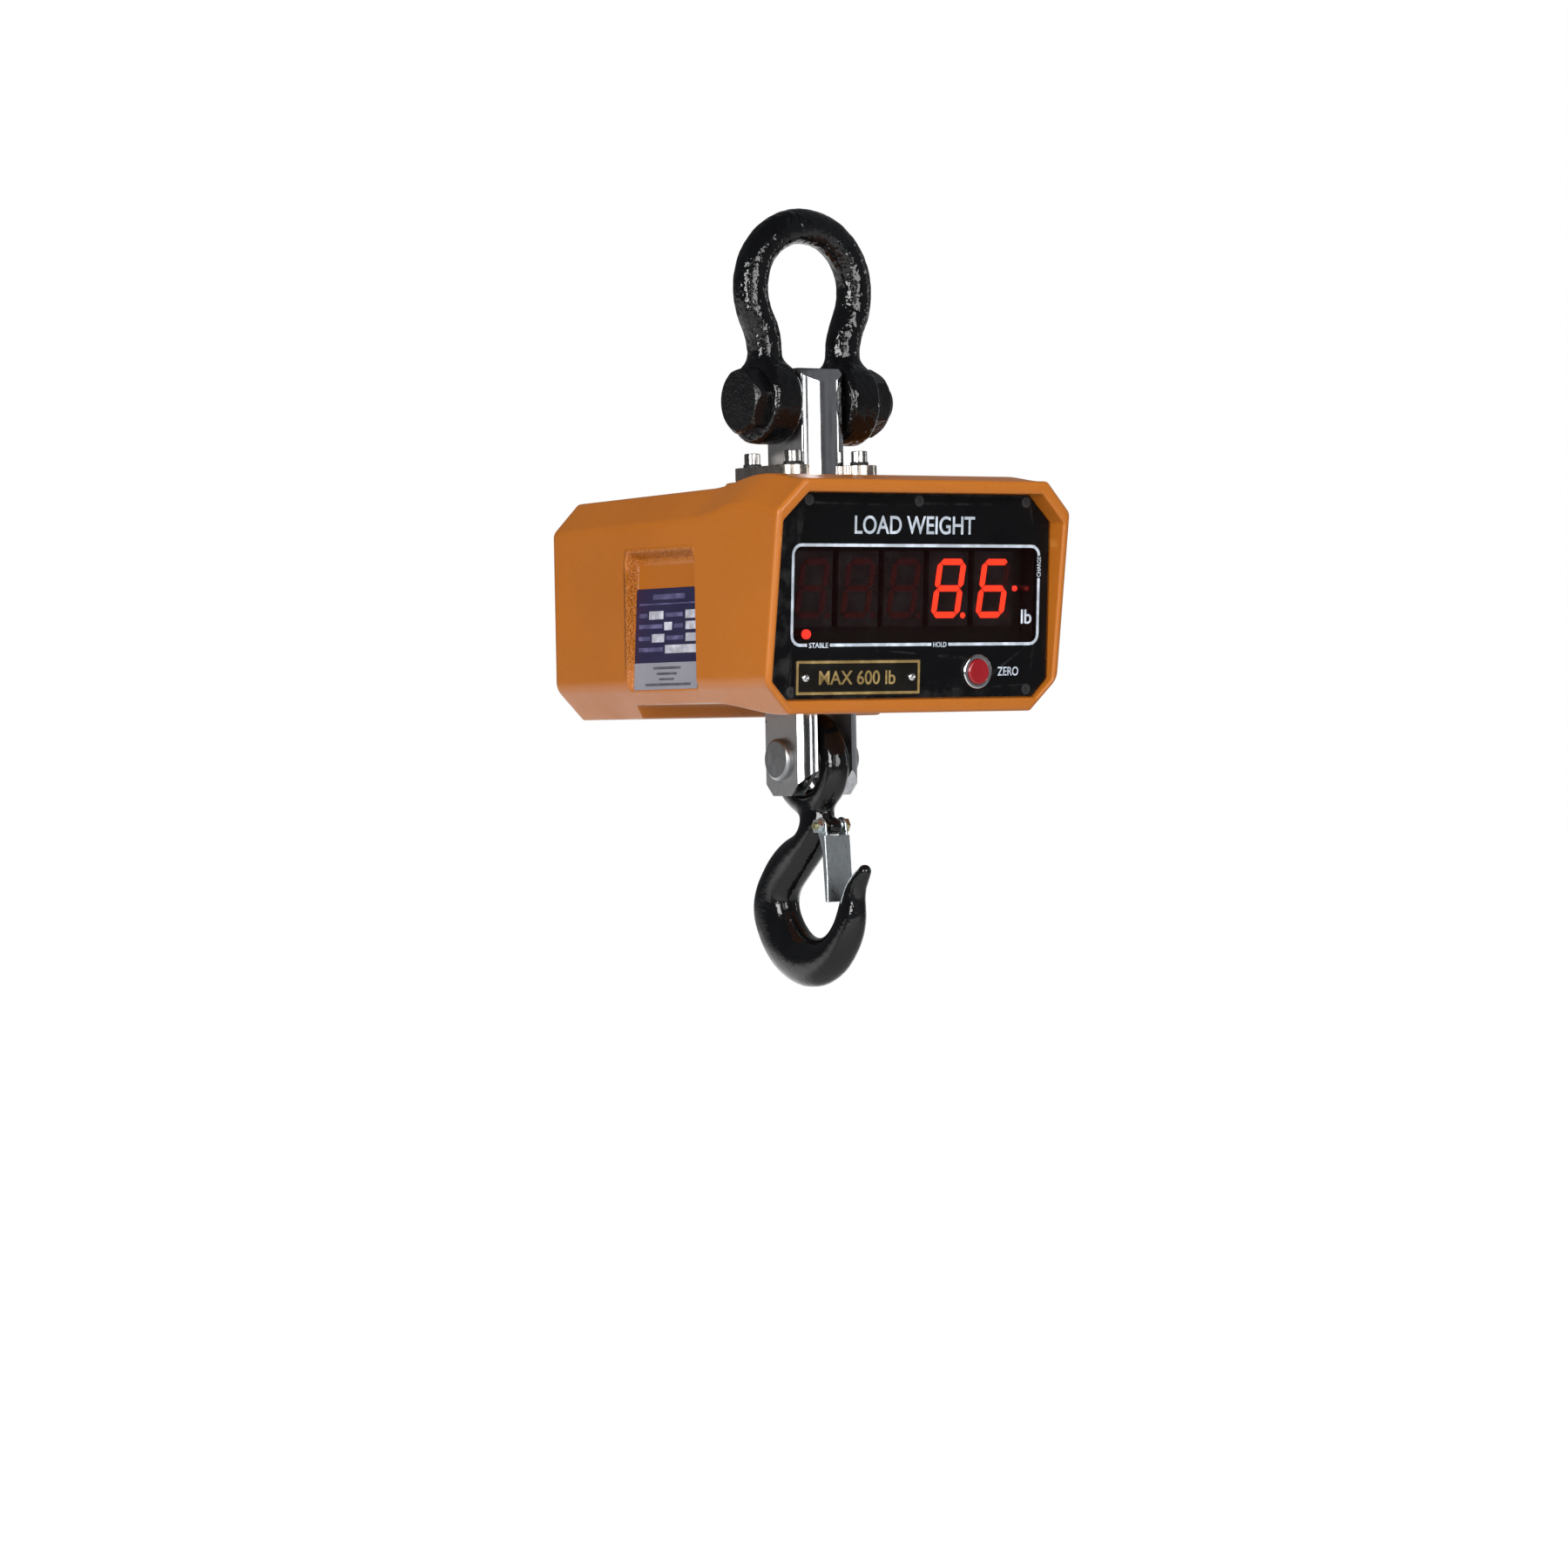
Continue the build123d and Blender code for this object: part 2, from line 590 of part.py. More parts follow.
with BuildPart() as capacity_plaque:
    extrude(block(panel_plane, plaque_width, plaque_height, plaque_centre), amount=plaque_thickness)
    extrude(discs(panel_plane, 2.2, plaque_screw_spots), amount=plaque_thickness, mode=Mode.SUBTRACT)
capacity_plaque.part.label = "capacity_plaque"
export_step(capacity_plaque.part, "parts/capacity_plaque.step")

with BuildPart() as plaque_screws:
    extrude(discs(panel_plane.offset(plaque_thickness), 4.4, plaque_screw_spots), amount=1.5)
    fillet(plaque_screws.edges().filter_by(GeomType.CIRCLE).group_by(Axis.Y)[0], 1.1)
    extrude(discs(panel_plane.offset(plaque_thickness), 2.2, plaque_screw_spots),
            amount=-plaque_thickness)
    for spot in plaque_screw_spots:
        slot_plane = panel_plane.offset(plaque_thickness + 1.5)
        extrude(block(slot_plane, 2.4, 0.6, spot), amount=-0.7, mode=Mode.SUBTRACT)
        extrude(block(slot_plane, 0.6, 2.4, spot), amount=-0.7, mode=Mode.SUBTRACT)
plaque_screws.part.label = "plaque_screws"
export_step(plaque_screws.part, "parts/plaque_screws.step")

with BuildPart() as button_bezel:
    extrude(discs(panel_plane, button_bezel_diameter, [button_centre]), amount=button_bezel_height)
    fillet(button_bezel.edges().filter_by(GeomType.CIRCLE).group_by(Axis.Y)[0], 0.9)
    extrude(discs(panel_plane, button_thread, [button_centre]), amount=-button_body_depth)
    extrude(discs(panel_plane.offset(button_bezel_height), button_bore, [button_centre]),
            amount=-(button_bezel_height + 8.0), mode=Mode.SUBTRACT)
button_bezel.part.label = "button_bezel"
export_step(button_bezel.part, "parts/button_bezel.step")

with BuildPart() as button_cap:
    extrude(discs(panel_plane.offset(button_cap_height), button_cap_diameter, [button_centre]),
            amount=-(button_cap_height + 5.0))
    fillet(button_cap.edges().filter_by(GeomType.CIRCLE).group_by(Axis.Y)[0], 1.0)
button_cap.part.label = "button_cap"
export_step(button_cap.part, "parts/button_cap.step")

with BuildPart() as button_nut:
    nut_plane = panel_plane.offset(-panel_thickness)
    with BuildSketch(nut_plane):
        with Locations(button_centre):
            RegularPolygon(9.5, 6, major_radius=False)
            Circle(button_thread / 2, mode=Mode.SUBTRACT)
    extrude(amount=-2.5)
button_nut.part.label = "button_nut"
export_step(button_nut.part, "parts/button_nut.step")

# ---- Load cell and fork ----
cell_centre_z = (cell_top_z + cell_bottom_z) / 2

with BuildPart() as load_cell:
    cell_height = cell_top_z - cell_bottom_z
    extrude(block(across(-cell_width / 2, 0, cell_centre_z), cell_length, cell_height, corner=3.0),
            amount=cell_width)
    # Two slots from opposite sides make the S, and a double bore thins its web.
    for side in (-1, 1):
        slot = block(across(-cell_width / 2, 0, cell_centre_z), cell_length - 14, cell_slot,
                     (side * 9.0, side * 19.0))
        extrude(slot, amount=cell_width, mode=Mode.SUBTRACT)
    bores = discs(across(-cell_width / 2, 0, cell_centre_z), cell_bore, [(-7.0, 0), (7.0, 0)])
    extrude(bores, amount=cell_width, mode=Mode.SUBTRACT)
    extrude(disc(Plane.XY.offset(cell_top_z), stud_diameter), amount=-15, mode=Mode.SUBTRACT)
    extrude(disc(Plane.XY.offset(cell_bottom_z), stud_diameter), amount=15, mode=Mode.SUBTRACT)
load_cell.part.label = "load_cell"
export_step(load_cell.part, "parts/load_cell.step")

with BuildPart() as fork:
    extrude(flatted_disc(Plane.XY.offset(fork_bottom_z), fork_diameter, fork_flats),
            amount=fork_top_z - fork_bottom_z)
    slot_height = fork_slot_top_z - fork_bottom_z
    with BuildSketch(Plane.XZ.offset(-fork_diameter)):
        with Locations((0, fork_bottom_z + slot_height / 2 - 5)):
            RectangleRounded(fork_slot, slot_height + 10, 6.0)
    extrude(amount=2 * fork_diameter, mode=Mode.SUBTRACT)
    for side in (-1, 1):
        with BuildSketch(Plane.YZ.offset(-fork_flats)):
            with BuildLine():
                Polyline(
                    (side * fork_diameter / 2, fork_bottom_z + fork_chamfer),
                    (side * (fork_diameter / 2 - fork_chamfer), fork_bottom_z),
                    (side * (fork_diameter / 2 + 1), fork_bottom_z - 1), close=True,
                )
            make_face()
        extrude(amount=2 * fork_flats, mode=Mode.SUBTRACT)
    extrude(disc(across(0, 0, fork_pin_z), pin_diameter), amount=fork_flats, both=True,
            mode=Mode.SUBTRACT)
    extrude(disc(Plane.XY.offset(fork_top_z), stud_diameter), amount=16)
fork.part.label = "fork"
export_step(fork.part, "parts/fork.step")

pin_ring_x = fork_flats / 2 + washer_thickness
with BuildPart() as fork_pin:
    extrude(disc(across(-fork_flats / 2, 0, fork_pin_z), pin_diameter),
            amount=fork_flats + pin_tail)
    extrude(disc(across(-fork_flats / 2, 0, fork_pin_z), pin_head_diameter), amount=-pin_head_height)
    chamfer(fork_pin.edges().filter_by(GeomType.CIRCLE).group_by(Axis.X)[0], 1.3)
    chamfer(fork_pin.edges().filter_by(GeomType.CIRCLE).group_by(Axis.X)[-1], 0.8)
    with BuildSketch(across(pin_ring_x, 0, fork_pin_z)):
        Circle(pin_diameter)
        Circle(pin_diameter / 2 - 1.0, mode=Mode.SUBTRACT)
    extrude(amount=1.3, mode=Mode.SUBTRACT)
fork_pin.part.label = "fork_pin"
export_step(fork_pin.part, "parts/fork_pin.step")

with BuildPart() as pin_washer:
    with BuildSketch(across(fork_flats / 2, 0, fork_pin_z)):
        Circle(pin_head_diameter / 2 + 2.5)
        Circle(pin_diameter / 2, mode=Mode.SUBTRACT)
    extrude(amount=washer_thickness)
pin_washer.part.label = "pin_washer"
export_step(pin_washer.part, "parts/pin_washer.step")

with BuildPart() as retaining_ring:
    with BuildSketch(across(pin_ring_x, 0, fork_pin_z)):
        Circle(pin_head_diameter / 2 + 1.0)
        Circle(pin_diameter / 2 - 1.0, mode=Mode.SUBTRACT)
        with Locations((0, -pin_diameter / 2)):
            Rectangle(5, 6, mode=Mode.SUBTRACT)
    extrude(amount=1.2)
retaining_ring.part.label = "retaining_ring"
export_step(retaining_ring.part, "parts/retaining_ring.step")

seal_inner = fork_diameter + 1.0
with BuildPart() as floor_seal:
    for bottom, height, outer in (
        (arch_z - 1.8, 1.8, floor_hole + 5),
        (arch_z, housing_wall, floor_hole),
        (arch_z + housing_wall, 1.6, floor_hole + 7),
    ):
        extrude(disc(Plane.XY.offset(bottom), outer), amount=height)
    extrude(disc(Plane.XY.offset(arch_z - 5), seal_inner), amount=20, mode=Mode.SUBTRACT)
floor_seal.part.label = "floor_seal"
export_step(floor_seal.part, "parts/floor_seal.step")

# ---- Hook: an eye in the plane of the hook, a neck, and a bowl that ends in a turned-out tip ----
# Each station along the hook: Y, height below the shackle bolt, heading in degrees from +Y towards
# +Z, half depth in the hook's plane and half thickness across it.
hook_stations = [
    (-2.5, 219.0, -92, 11.0, 8.6),
    (-4.0, 228.0, -86, 11.2, 9.0),
    (7.0, 240.5, -45, 10.4, 10.2),
    (23.5, 252.0, -42, 12.6, 10.4),
    (35.4, 270.0, -92, 15.0, 11.0),
    (25.8, 290.6, -137, 15.2, 11.0),
    (3.2, 301.3, -180, 13.9, 10.6),
    (-22.3, 293.5, -227, 11.1, 9.2),
    (-33.8, 277.0, -260, 9.2, 7.6),
    (-36.6, 266.0, -255, 7.6, 6.0),
    (-41.4, 257.6, -236, 5.4, 4.9),
    (-47.0, 252.0, -228, 3.7, 3.8),
]
with BuildPart() as hook:
    for y, drop, heading, half_depth, half_width in hook_stations:
        along = (0, cos(radians(heading)), sin(radians(heading)))
        with BuildSketch(Plane(origin=(0, y, bolt_z - drop), x_dir=(1, 0, 0), z_dir=along)):
            Ellipse(half_width, half_depth)
    loft()
    tip_y, tip_drop = hook_stations[-1][:2]
    with Locations((0, tip_y, bolt_z - tip_drop)):
        Sphere(3.75)
    with Locations(Location((0, 0, eye_centre_z), (0, 90, 0))):
        Torus(eye_bore_radius + eye_bar_radius, eye_bar_radius)
    # Boss for the latch bolt, at the front of the neck.
    boss_plane = across(-latch_boss_half, 0, latch_bolt_z)
    extrude(disc(across(-latch_boss_half, latch_bolt_y, latch_bolt_z), 2 * latch_boss_radius),
            amount=2 * latch_boss_half)
    extrude(block(boss_plane, 14, 2 * latch_boss_radius, (latch_bolt_y + 7, 0)),
            amount=2 * latch_boss_half)
    extrude(disc(across(0, latch_bolt_y, latch_bolt_z), latch_bolt_diameter), amount=20, both=True,
            mode=Mode.SUBTRACT)
hook.part.label = "hook"
export_step(hook.part, "parts/hook.step")

# ---- Latch: a bent sheet channel on its own bolt, with a nut and a torsion spring ----
latch_pivot = (0, latch_bolt_y, latch_bolt_z)
latch_height = latch_web_top_z - latch_tip_z
lean_shift = latch_height * sin(radians(latch_lean))

with BuildPart() as latch:
    # Side profile of the two cheeks: a round ear, tapering to the free end.
    with BuildSketch(Plane.YZ.offset(-latch_bottom_half)) as cheek_profile:
        with BuildLine():
            Polyline(
                (latch_web_y, latch_web_top_z),
                (latch_web_y - lean_shift, latch_tip_z),
                (latch_web_y - lean_shift + 2.3, latch_tip_z),
                (latch_web_y + 3.6, latch_bolt_z - 13.7),
                (latch_bolt_y + 2.7, latch_bolt_z - 3.6),
                (latch_bolt_y, latch_bolt_z),
                (latch_bolt_y - latch_ear_radius, latch_bolt_z), close=True,
            )
        make_face()
        with Locations((latch_bolt_y, latch_bolt_z)):
            Circle(latch_ear_radius)
    extrude(amount=2 * latch_bottom_half)
    # Keep the folded sheet's outline, wider at the free end, seen from the front.
    with BuildSketch(Plane.XZ.offset(60)):
        with BuildLine():
            Polyline(
                (-latch_top_half, latch_bolt_z + 8), (-latch_top_half, latch_web_top_z),
                (-latch_bottom_half, latch_tip_z), (latch_bottom_half, latch_tip_z),
                (latch_top_half, latch_web_top_z), (latch_top_half, latch_bolt_z + 8), close=True,
            )
        make_face()
    extrude(amount=-120, mode=Mode.INTERSECT)
    # Hollow it behind the web and between the ears.
    with BuildSketch(Plane.XZ.offset(60)):
        with BuildLine():
            Polyline(
                (-latch_ear_x, latch_bolt_z + 8), (-latch_ear_x, latch_web_top_z),
                (latch_sheet - latch_bottom_half, latch_tip_z),
                (latch_bottom_half - latch_sheet, latch_tip_z),
                (latch_ear_x, latch_web_top_z), (latch_ear_x, latch_bolt_z + 8), close=True,
            )
        make_face()
    extrude(amount=-120, mode=Mode.SUBTRACT)
    with BuildSketch(Plane.YZ.offset(-latch_bottom_half + latch_sheet / 2)):
        with BuildLine():
            Polyline(
                (latch_web_y, latch_web_top_z),
                (latch_web_y - lean_shift, latch_tip_z),
                (latch_web_y - lean_shift + latch_sheet, latch_tip_z),
                (latch_web_y + latch_sheet, latch_web_top_z), close=True,
            )
        make_face()
    extrude(amount=2 * latch_bottom_half - latch_sheet)
    extrude(disc(across(0, latch_bolt_y, latch_bolt_z), latch_bolt_diameter + 2 * running_gap),
            amount=20, both=True, mode=Mode.SUBTRACT)
latch.part.label = "latch"
export_step(latch.part, "parts/latch.step")

bolt_side_x = latch_top_half + 0.2
with BuildPart() as latch_bolt:
    extrude(disc(across(-bolt_side_x - 4.4, latch_bolt_y, latch_bolt_z), latch_bolt_diameter),
            amount=2 * bolt_side_x + 4.4)
    extrude(hexagon(across(bolt_side_x, latch_bolt_y, latch_bolt_z), 7.0), amount=2.6)
latch_bolt.part.label = "latch_bolt"
export_step(latch_bolt.part, "parts/latch_bolt.step")

with BuildPart() as latch_nut:
    with BuildSketch(across(-bolt_side_x, latch_bolt_y, latch_bolt_z)):
        RegularPolygon(3.5, 6, major_radius=False)
        Circle(latch_bolt_diameter / 2, mode=Mode.SUBTRACT)
    extrude(amount=-3.0)
latch_nut.part.label = "latch_nut"
export_step(latch_nut.part, "parts/latch_nut.step")

spring_wire = 0.7
spring_pitch = 0.75
spring_turns = 2
with BuildPart() as latch_spring:
    with BuildLine() as coil_line:
        coil = Helix(spring_pitch, (spring_turns - 0.7) * spring_pitch, 3.0,
                     center=(latch_boss_half + 0.45, latch_bolt_y, latch_bolt_z),
                     direction=(1, 0, 0))
    with BuildSketch(Plane(origin=coil @ 0, z_dir=coil % 0)):
        Circle(spring_wire / 2)
    sweep(path=coil_line.wires()[0])
latch_spring.part.label = "latch_spring"
export_step(latch_spring.part, "parts/latch_spring.step")

# ---- Rear side: gasket, cover, screws, charging socket, switch and battery ----
cover_back_plane = rear_plane.offset(-cover_inset)
cover_front_plane = cover_back_plane.offset(-cover_thickness)

with BuildPart() as rear_gasket:
    extrude(octagon(cover_front_plane, cover_width - 1, cover_height - 1, cover_chamfer,
                    cover_chamfer), amount=-rear_gasket_thickness)
    extrude(octagon(cover_front_plane, 164, 101, 22, 22), amount=-rear_gasket_thickness,
            mode=Mode.SUBTRACT)
    extrude(discs(cover_front_plane, 4.2, cover_screw_spots), amount=-rear_gasket_thickness,
            mode=Mode.SUBTRACT)
rear_gasket.part.label = "rear_gasket"
export_step(rear_gasket.part, "parts/rear_gasket.step")

with BuildPart() as rear_cover:
    extrude(octagon(cover_front_plane, cover_width, cover_height, cover_chamfer, cover_chamfer),
            amount=cover_thickness)
    extrude(discs(cover_front_plane, 4.0, cover_screw_spots), amount=cover_thickness,
            mode=Mode.SUBTRACT)
    extrude(discs(cover_front_plane, 12.0, [socket_spot]), amount=cover_thickness,
            mode=Mode.SUBTRACT)
    extrude(block(cover_front_plane, 19.2, 13.0, rocker_spot), amount=cover_thickness,
            mode=Mode.SUBTRACT)
rear_cover.part.label = "rear_cover"
export_step(rear_cover.part, "parts/rear_cover.step")

with BuildPart() as rear_cover_screws:
    extrude(discs(cover_back_plane, 7.0, cover_screw_spots), amount=2.2)
    fillet(rear_cover_screws.edges().filter_by(GeomType.CIRCLE).group_by(Axis.Y)[-1], 1.3)
    extrude(discs(cover_back_plane, 4.0, cover_screw_spots), amount=-10)
    for spot in cover_screw_spots:
        cross_plane = cover_back_plane.offset(2.2)
        extrude(block(cross_plane, 3.6, 0.9, spot), amount=-1.1, mode=Mode.SUBTRACT)
        extrude(block(cross_plane, 0.9, 3.6, spot), amount=-1.1, mode=Mode.SUBTRACT)
rear_cover_screws.part.label = "rear_cover_screws"
export_step(rear_cover_screws.part, "parts/rear_cover_screws.step")

with BuildPart() as charge_socket:
    extrude(discs(cover_back_plane, 15.0, [socket_spot]), amount=2.0)
    chamfer(charge_socket.edges().filter_by(GeomType.CIRCLE).group_by(Axis.Y)[-1], 0.6)
    extrude(discs(cover_back_plane, 12.0, [socket_spot]), amount=-14)
    extrude(discs(cover_back_plane.offset(2.0), 8.6, [socket_spot]), amount=-11,
            mode=Mode.SUBTRACT)
    extrude(discs(cover_back_plane.offset(-10), 2.1, [socket_spot]), amount=10)
charge_socket.part.label = "charge_socket"
export_step(charge_socket.part, "parts/charge_socket.step")

with BuildPart() as charge_socket_nut:
    with BuildSketch(cover_front_plane):
        with Locations(socket_spot):
            RegularPolygon(7.5, 6, major_radius=False)
            Circle(6.0, mode=Mode.SUBTRACT)
    extrude(amount=-2.4)
charge_socket_nut.part.label = "charge_socket_nut"
export_step(charge_socket_nut.part, "parts/charge_socket_nut.step")

with BuildPart() as power_switch:
    extrude(block(cover_back_plane, 21.0, 15.0, rocker_spot, corner=1.5), amount=1.8)
    extrude(block(cover_back_plane, 19.0, 12.8, rocker_spot), amount=-14)
    extrude(block(cover_back_plane.offset(1.8), 15.4, 10.4, rocker_spot), amount=-9,
            mode=Mode.SUBTRACT)
power_switch.part.label = "power_switch"
export_step(power_switch.part, "parts/power_switch.step")

# The rocker turns about an axis parallel to Z, so it is drawn in plan, tipped to one side.
rocker_x = -rocker_spot[0]
rocker_z = cover_centre_z + rocker_spot[1]
rocker_pivot_y = housing_rear_y - cover_inset + 0.3
rocker_side = (cos(radians(-rocker_tip)), sin(radians(-rocker_tip)), 0)
rocker_plane = Plane(origin=(rocker_x, rocker_pivot_y, rocker_z - 4.9), x_dir=rocker_side,
                     z_dir=(0, 0, 1))
with BuildPart() as power_rocker:
    with BuildSketch(rocker_plane):
        with BuildLine():
            Polyline((-7.0, 3.4), (0, 1.8), (7.0, 3.4), (6.4, -2.6), (0, -4.4), (-6.4, -2.6),
                     close=True)
        make_face()
    extrude(amount=9.8)
power_rocker.part.label = "power_rocker"
export_step(power_rocker.part, "parts/power_rocker.step")

battery_width, battery_depth, battery_height = battery_size
battery_floor_z = rear_bottom_z + housing_wall + 2.0
with BuildPart() as battery:
    with BuildSketch(Plane.XY.offset(battery_floor_z)):
        with Locations((0, battery_y)):
            RectangleRounded(battery_width, battery_depth, 2.0)
    extrude(amount=battery_height)
    with BuildSketch(Plane.XY.offset(battery_floor_z + battery_height)):
        with Locations((-26, battery_y - 12), (26, battery_y - 12)):
            Rectangle(4.8, 6.0)
    extrude(amount=3.0)
battery.part.label = "battery"
export_step(battery.part, "parts/battery.step")

# A sheet tray under the battery, folded up in front of it.
tray_sheet = 1.5
tray_front_y = battery_y - battery_depth / 2 - tray_sheet
with BuildPart() as battery_tray:
    with BuildSketch(Plane.YZ.offset(-battery_width / 2)):
        with BuildLine():
            Polyline(
                (tray_front_y, battery_floor_z + 60), (tray_front_y, rear_bottom_z + housing_wall),
                (tray_front_y + 8, rear_bottom_z + housing_wall),
                (battery_y + 18, rear_bottom_z + housing_wall),
                (battery_y + 18, battery_floor_z), (tray_front_y + tray_sheet, battery_floor_z),
                (tray_front_y + tray_sheet, battery_floor_z + 60), close=True,
            )
        make_face()
    extrude(amount=battery_width)
battery_tray.part.label = "battery_tray"
export_step(battery_tray.part, "parts/battery_tray.step")

# ---- Rating label in the left pocket ----
label_top_z = bolt_z - 99.9
label_bottom_z = bolt_z - 153.6
with BuildPart() as rating_label:
    label_rise = (label_top_z + label_bottom_z) / 2 - (pocket_top_z + pocket_pad_z) / 2
    label = block(pocket_floor(-1), 2 * pocket_half_length - 5.0, label_top_z - label_bottom_z,
                  (0, label_rise))
    extrude(label, amount=0.3)
rating_label.part.label = "rating_label"
export_step(rating_label.part, "parts/rating_label.step")
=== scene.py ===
"""Looks of a hanging crane scale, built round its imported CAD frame.

Lengths are metres, or millimetres where a comment or a docstring says so.
"""

import json
import math

import bmesh
import bpy
import numpy as np
from mathutils import Matrix, Vector, noise

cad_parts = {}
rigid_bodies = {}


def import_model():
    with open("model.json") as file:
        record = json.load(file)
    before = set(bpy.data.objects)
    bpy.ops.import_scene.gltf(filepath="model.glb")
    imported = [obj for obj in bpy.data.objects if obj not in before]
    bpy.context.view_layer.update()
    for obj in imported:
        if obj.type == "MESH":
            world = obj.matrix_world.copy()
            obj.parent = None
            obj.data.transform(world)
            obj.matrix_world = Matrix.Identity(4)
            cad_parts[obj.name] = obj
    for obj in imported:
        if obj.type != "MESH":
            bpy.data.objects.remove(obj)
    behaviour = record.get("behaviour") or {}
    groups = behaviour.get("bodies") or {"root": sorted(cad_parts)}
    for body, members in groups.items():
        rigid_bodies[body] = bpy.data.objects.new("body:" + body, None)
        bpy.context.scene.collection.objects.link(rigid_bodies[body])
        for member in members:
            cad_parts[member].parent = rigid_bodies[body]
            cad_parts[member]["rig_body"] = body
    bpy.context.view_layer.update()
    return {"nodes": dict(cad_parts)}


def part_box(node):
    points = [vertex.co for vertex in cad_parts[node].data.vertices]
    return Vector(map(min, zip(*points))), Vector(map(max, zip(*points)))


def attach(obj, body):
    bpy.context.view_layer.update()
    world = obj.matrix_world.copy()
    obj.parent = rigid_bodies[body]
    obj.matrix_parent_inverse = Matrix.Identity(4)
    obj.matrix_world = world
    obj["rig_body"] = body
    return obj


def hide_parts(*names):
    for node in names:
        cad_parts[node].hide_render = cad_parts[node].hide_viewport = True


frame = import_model()
MM = 0.001


def middle(node):
    """Centre of a CAD node's box."""
    low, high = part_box(node)
    return (low + high) / 2


BOLT_Z = middle("shackle_bolt").z

# ---- the casting's dimensions ----

# Millimetres, with heights from the shackle bolt's axis. Radii run from the bottom of a
# section to its top, and an opening's two cuts are the chamfers at its top and its bottom.
# The lip and the panel each have a point on their plane and a lean back from upright.

HALF_WIDTH = 95.0
CHAMFER = 16.5
OUTER_RADII = (2.0, 10.0, 6.0, 4.0)
REAR_Y, REAR_Z = 106.0, -109.8
LIP_Y, LIP_Z, LIP_TILT = -102.3, -108.0, math.radians(8.8)
PANEL_Y, PANEL_Z, PANEL_TILT = -94.2, -107.3, math.radians(3.8)
OPENING, OPENING_CUTS = (181.6, 108.0), (15.0, 10.0)
PANEL_HOLE, PANEL_HOLE_CUTS = (170.0, 90.0), (12.0, 8.0)
REAR_OPENING, REAR_CUT = (182.0, 108.0), 13.5
REAR_HOLE, REAR_HOLE_CUT = (164.0, 101.0), 22.0
WALL = 4.5
HUMP_Z, WAIST_Z = -43.0, -48.6
FRONT_FOOT_Z, ARCH_Z, ARCH_REAR_Y = -168.4, -161.5, 39.0
POCKET_FRONT, POCKET_REAR, POCKET_TOP, POCKET_FOOT = -31.0, 34.0, -80.0, -154.5
DEPTH_TOP, DEPTH_FOOT = 7.0, 2.5
LEAN = (DEPTH_TOP - DEPTH_FOOT) / (POCKET_TOP - POCKET_FOOT)
BOSS_HALF, BOSS_CORNER, BOSS_BURIED = (36.0, 32.0), 11.0, -51.0
BOSS_PROFILE = ((-1.5, BOSS_BURIED), (0.0, -47.5), (0.0, -44.2), (0.25, -43.4), (0.9, -42.9),
                (1.7, -42.7))

# ---- materials ----


def socket(shader, name, value):
    """Sets a uniform value on a shader's own socket; a colour gets its alpha."""
    if isinstance(value, tuple) and len(value) == 3:
        value = (*value, 1.0)
    shader.inputs[name].default_value = value


LOOKS = {}


class Nodes:
    """A node tree, with short ways to add and join its nodes."""

    def __init__(self, tree):
        self.tree = tree

    def add(self, kind, **settings):
        node = self.tree.nodes.new(kind)
        for key, value in settings.items():
            setattr(node, key, value)
        return node

    def link(self, source, target):
        self.tree.links.new(source, target)

    def spread(self, value, low, high, to_low=0.0, to_high=1.0):
        """Maps low..high to another range, clamped."""
        node = self.add("ShaderNodeMapRange")
        self.link(value, node.inputs["Value"])
        for key, number in zip(("From Min", "From Max", "To Min", "To Max"),
                               (low, high, to_low, to_high)):
            node.inputs[key].default_value = number
        return node.outputs["Result"]

    def maths(self, operation, first, second=0.0):
        """One sum; each term is a number or a node's output."""
        node = self.add("ShaderNodeMath", operation=operation)
        for index, value in enumerate((first, second)):
            if isinstance(value, (int, float)):
                node.inputs[index].default_value = value
            else:
                self.link(value, node.inputs[index])
        return node.outputs["Value"]


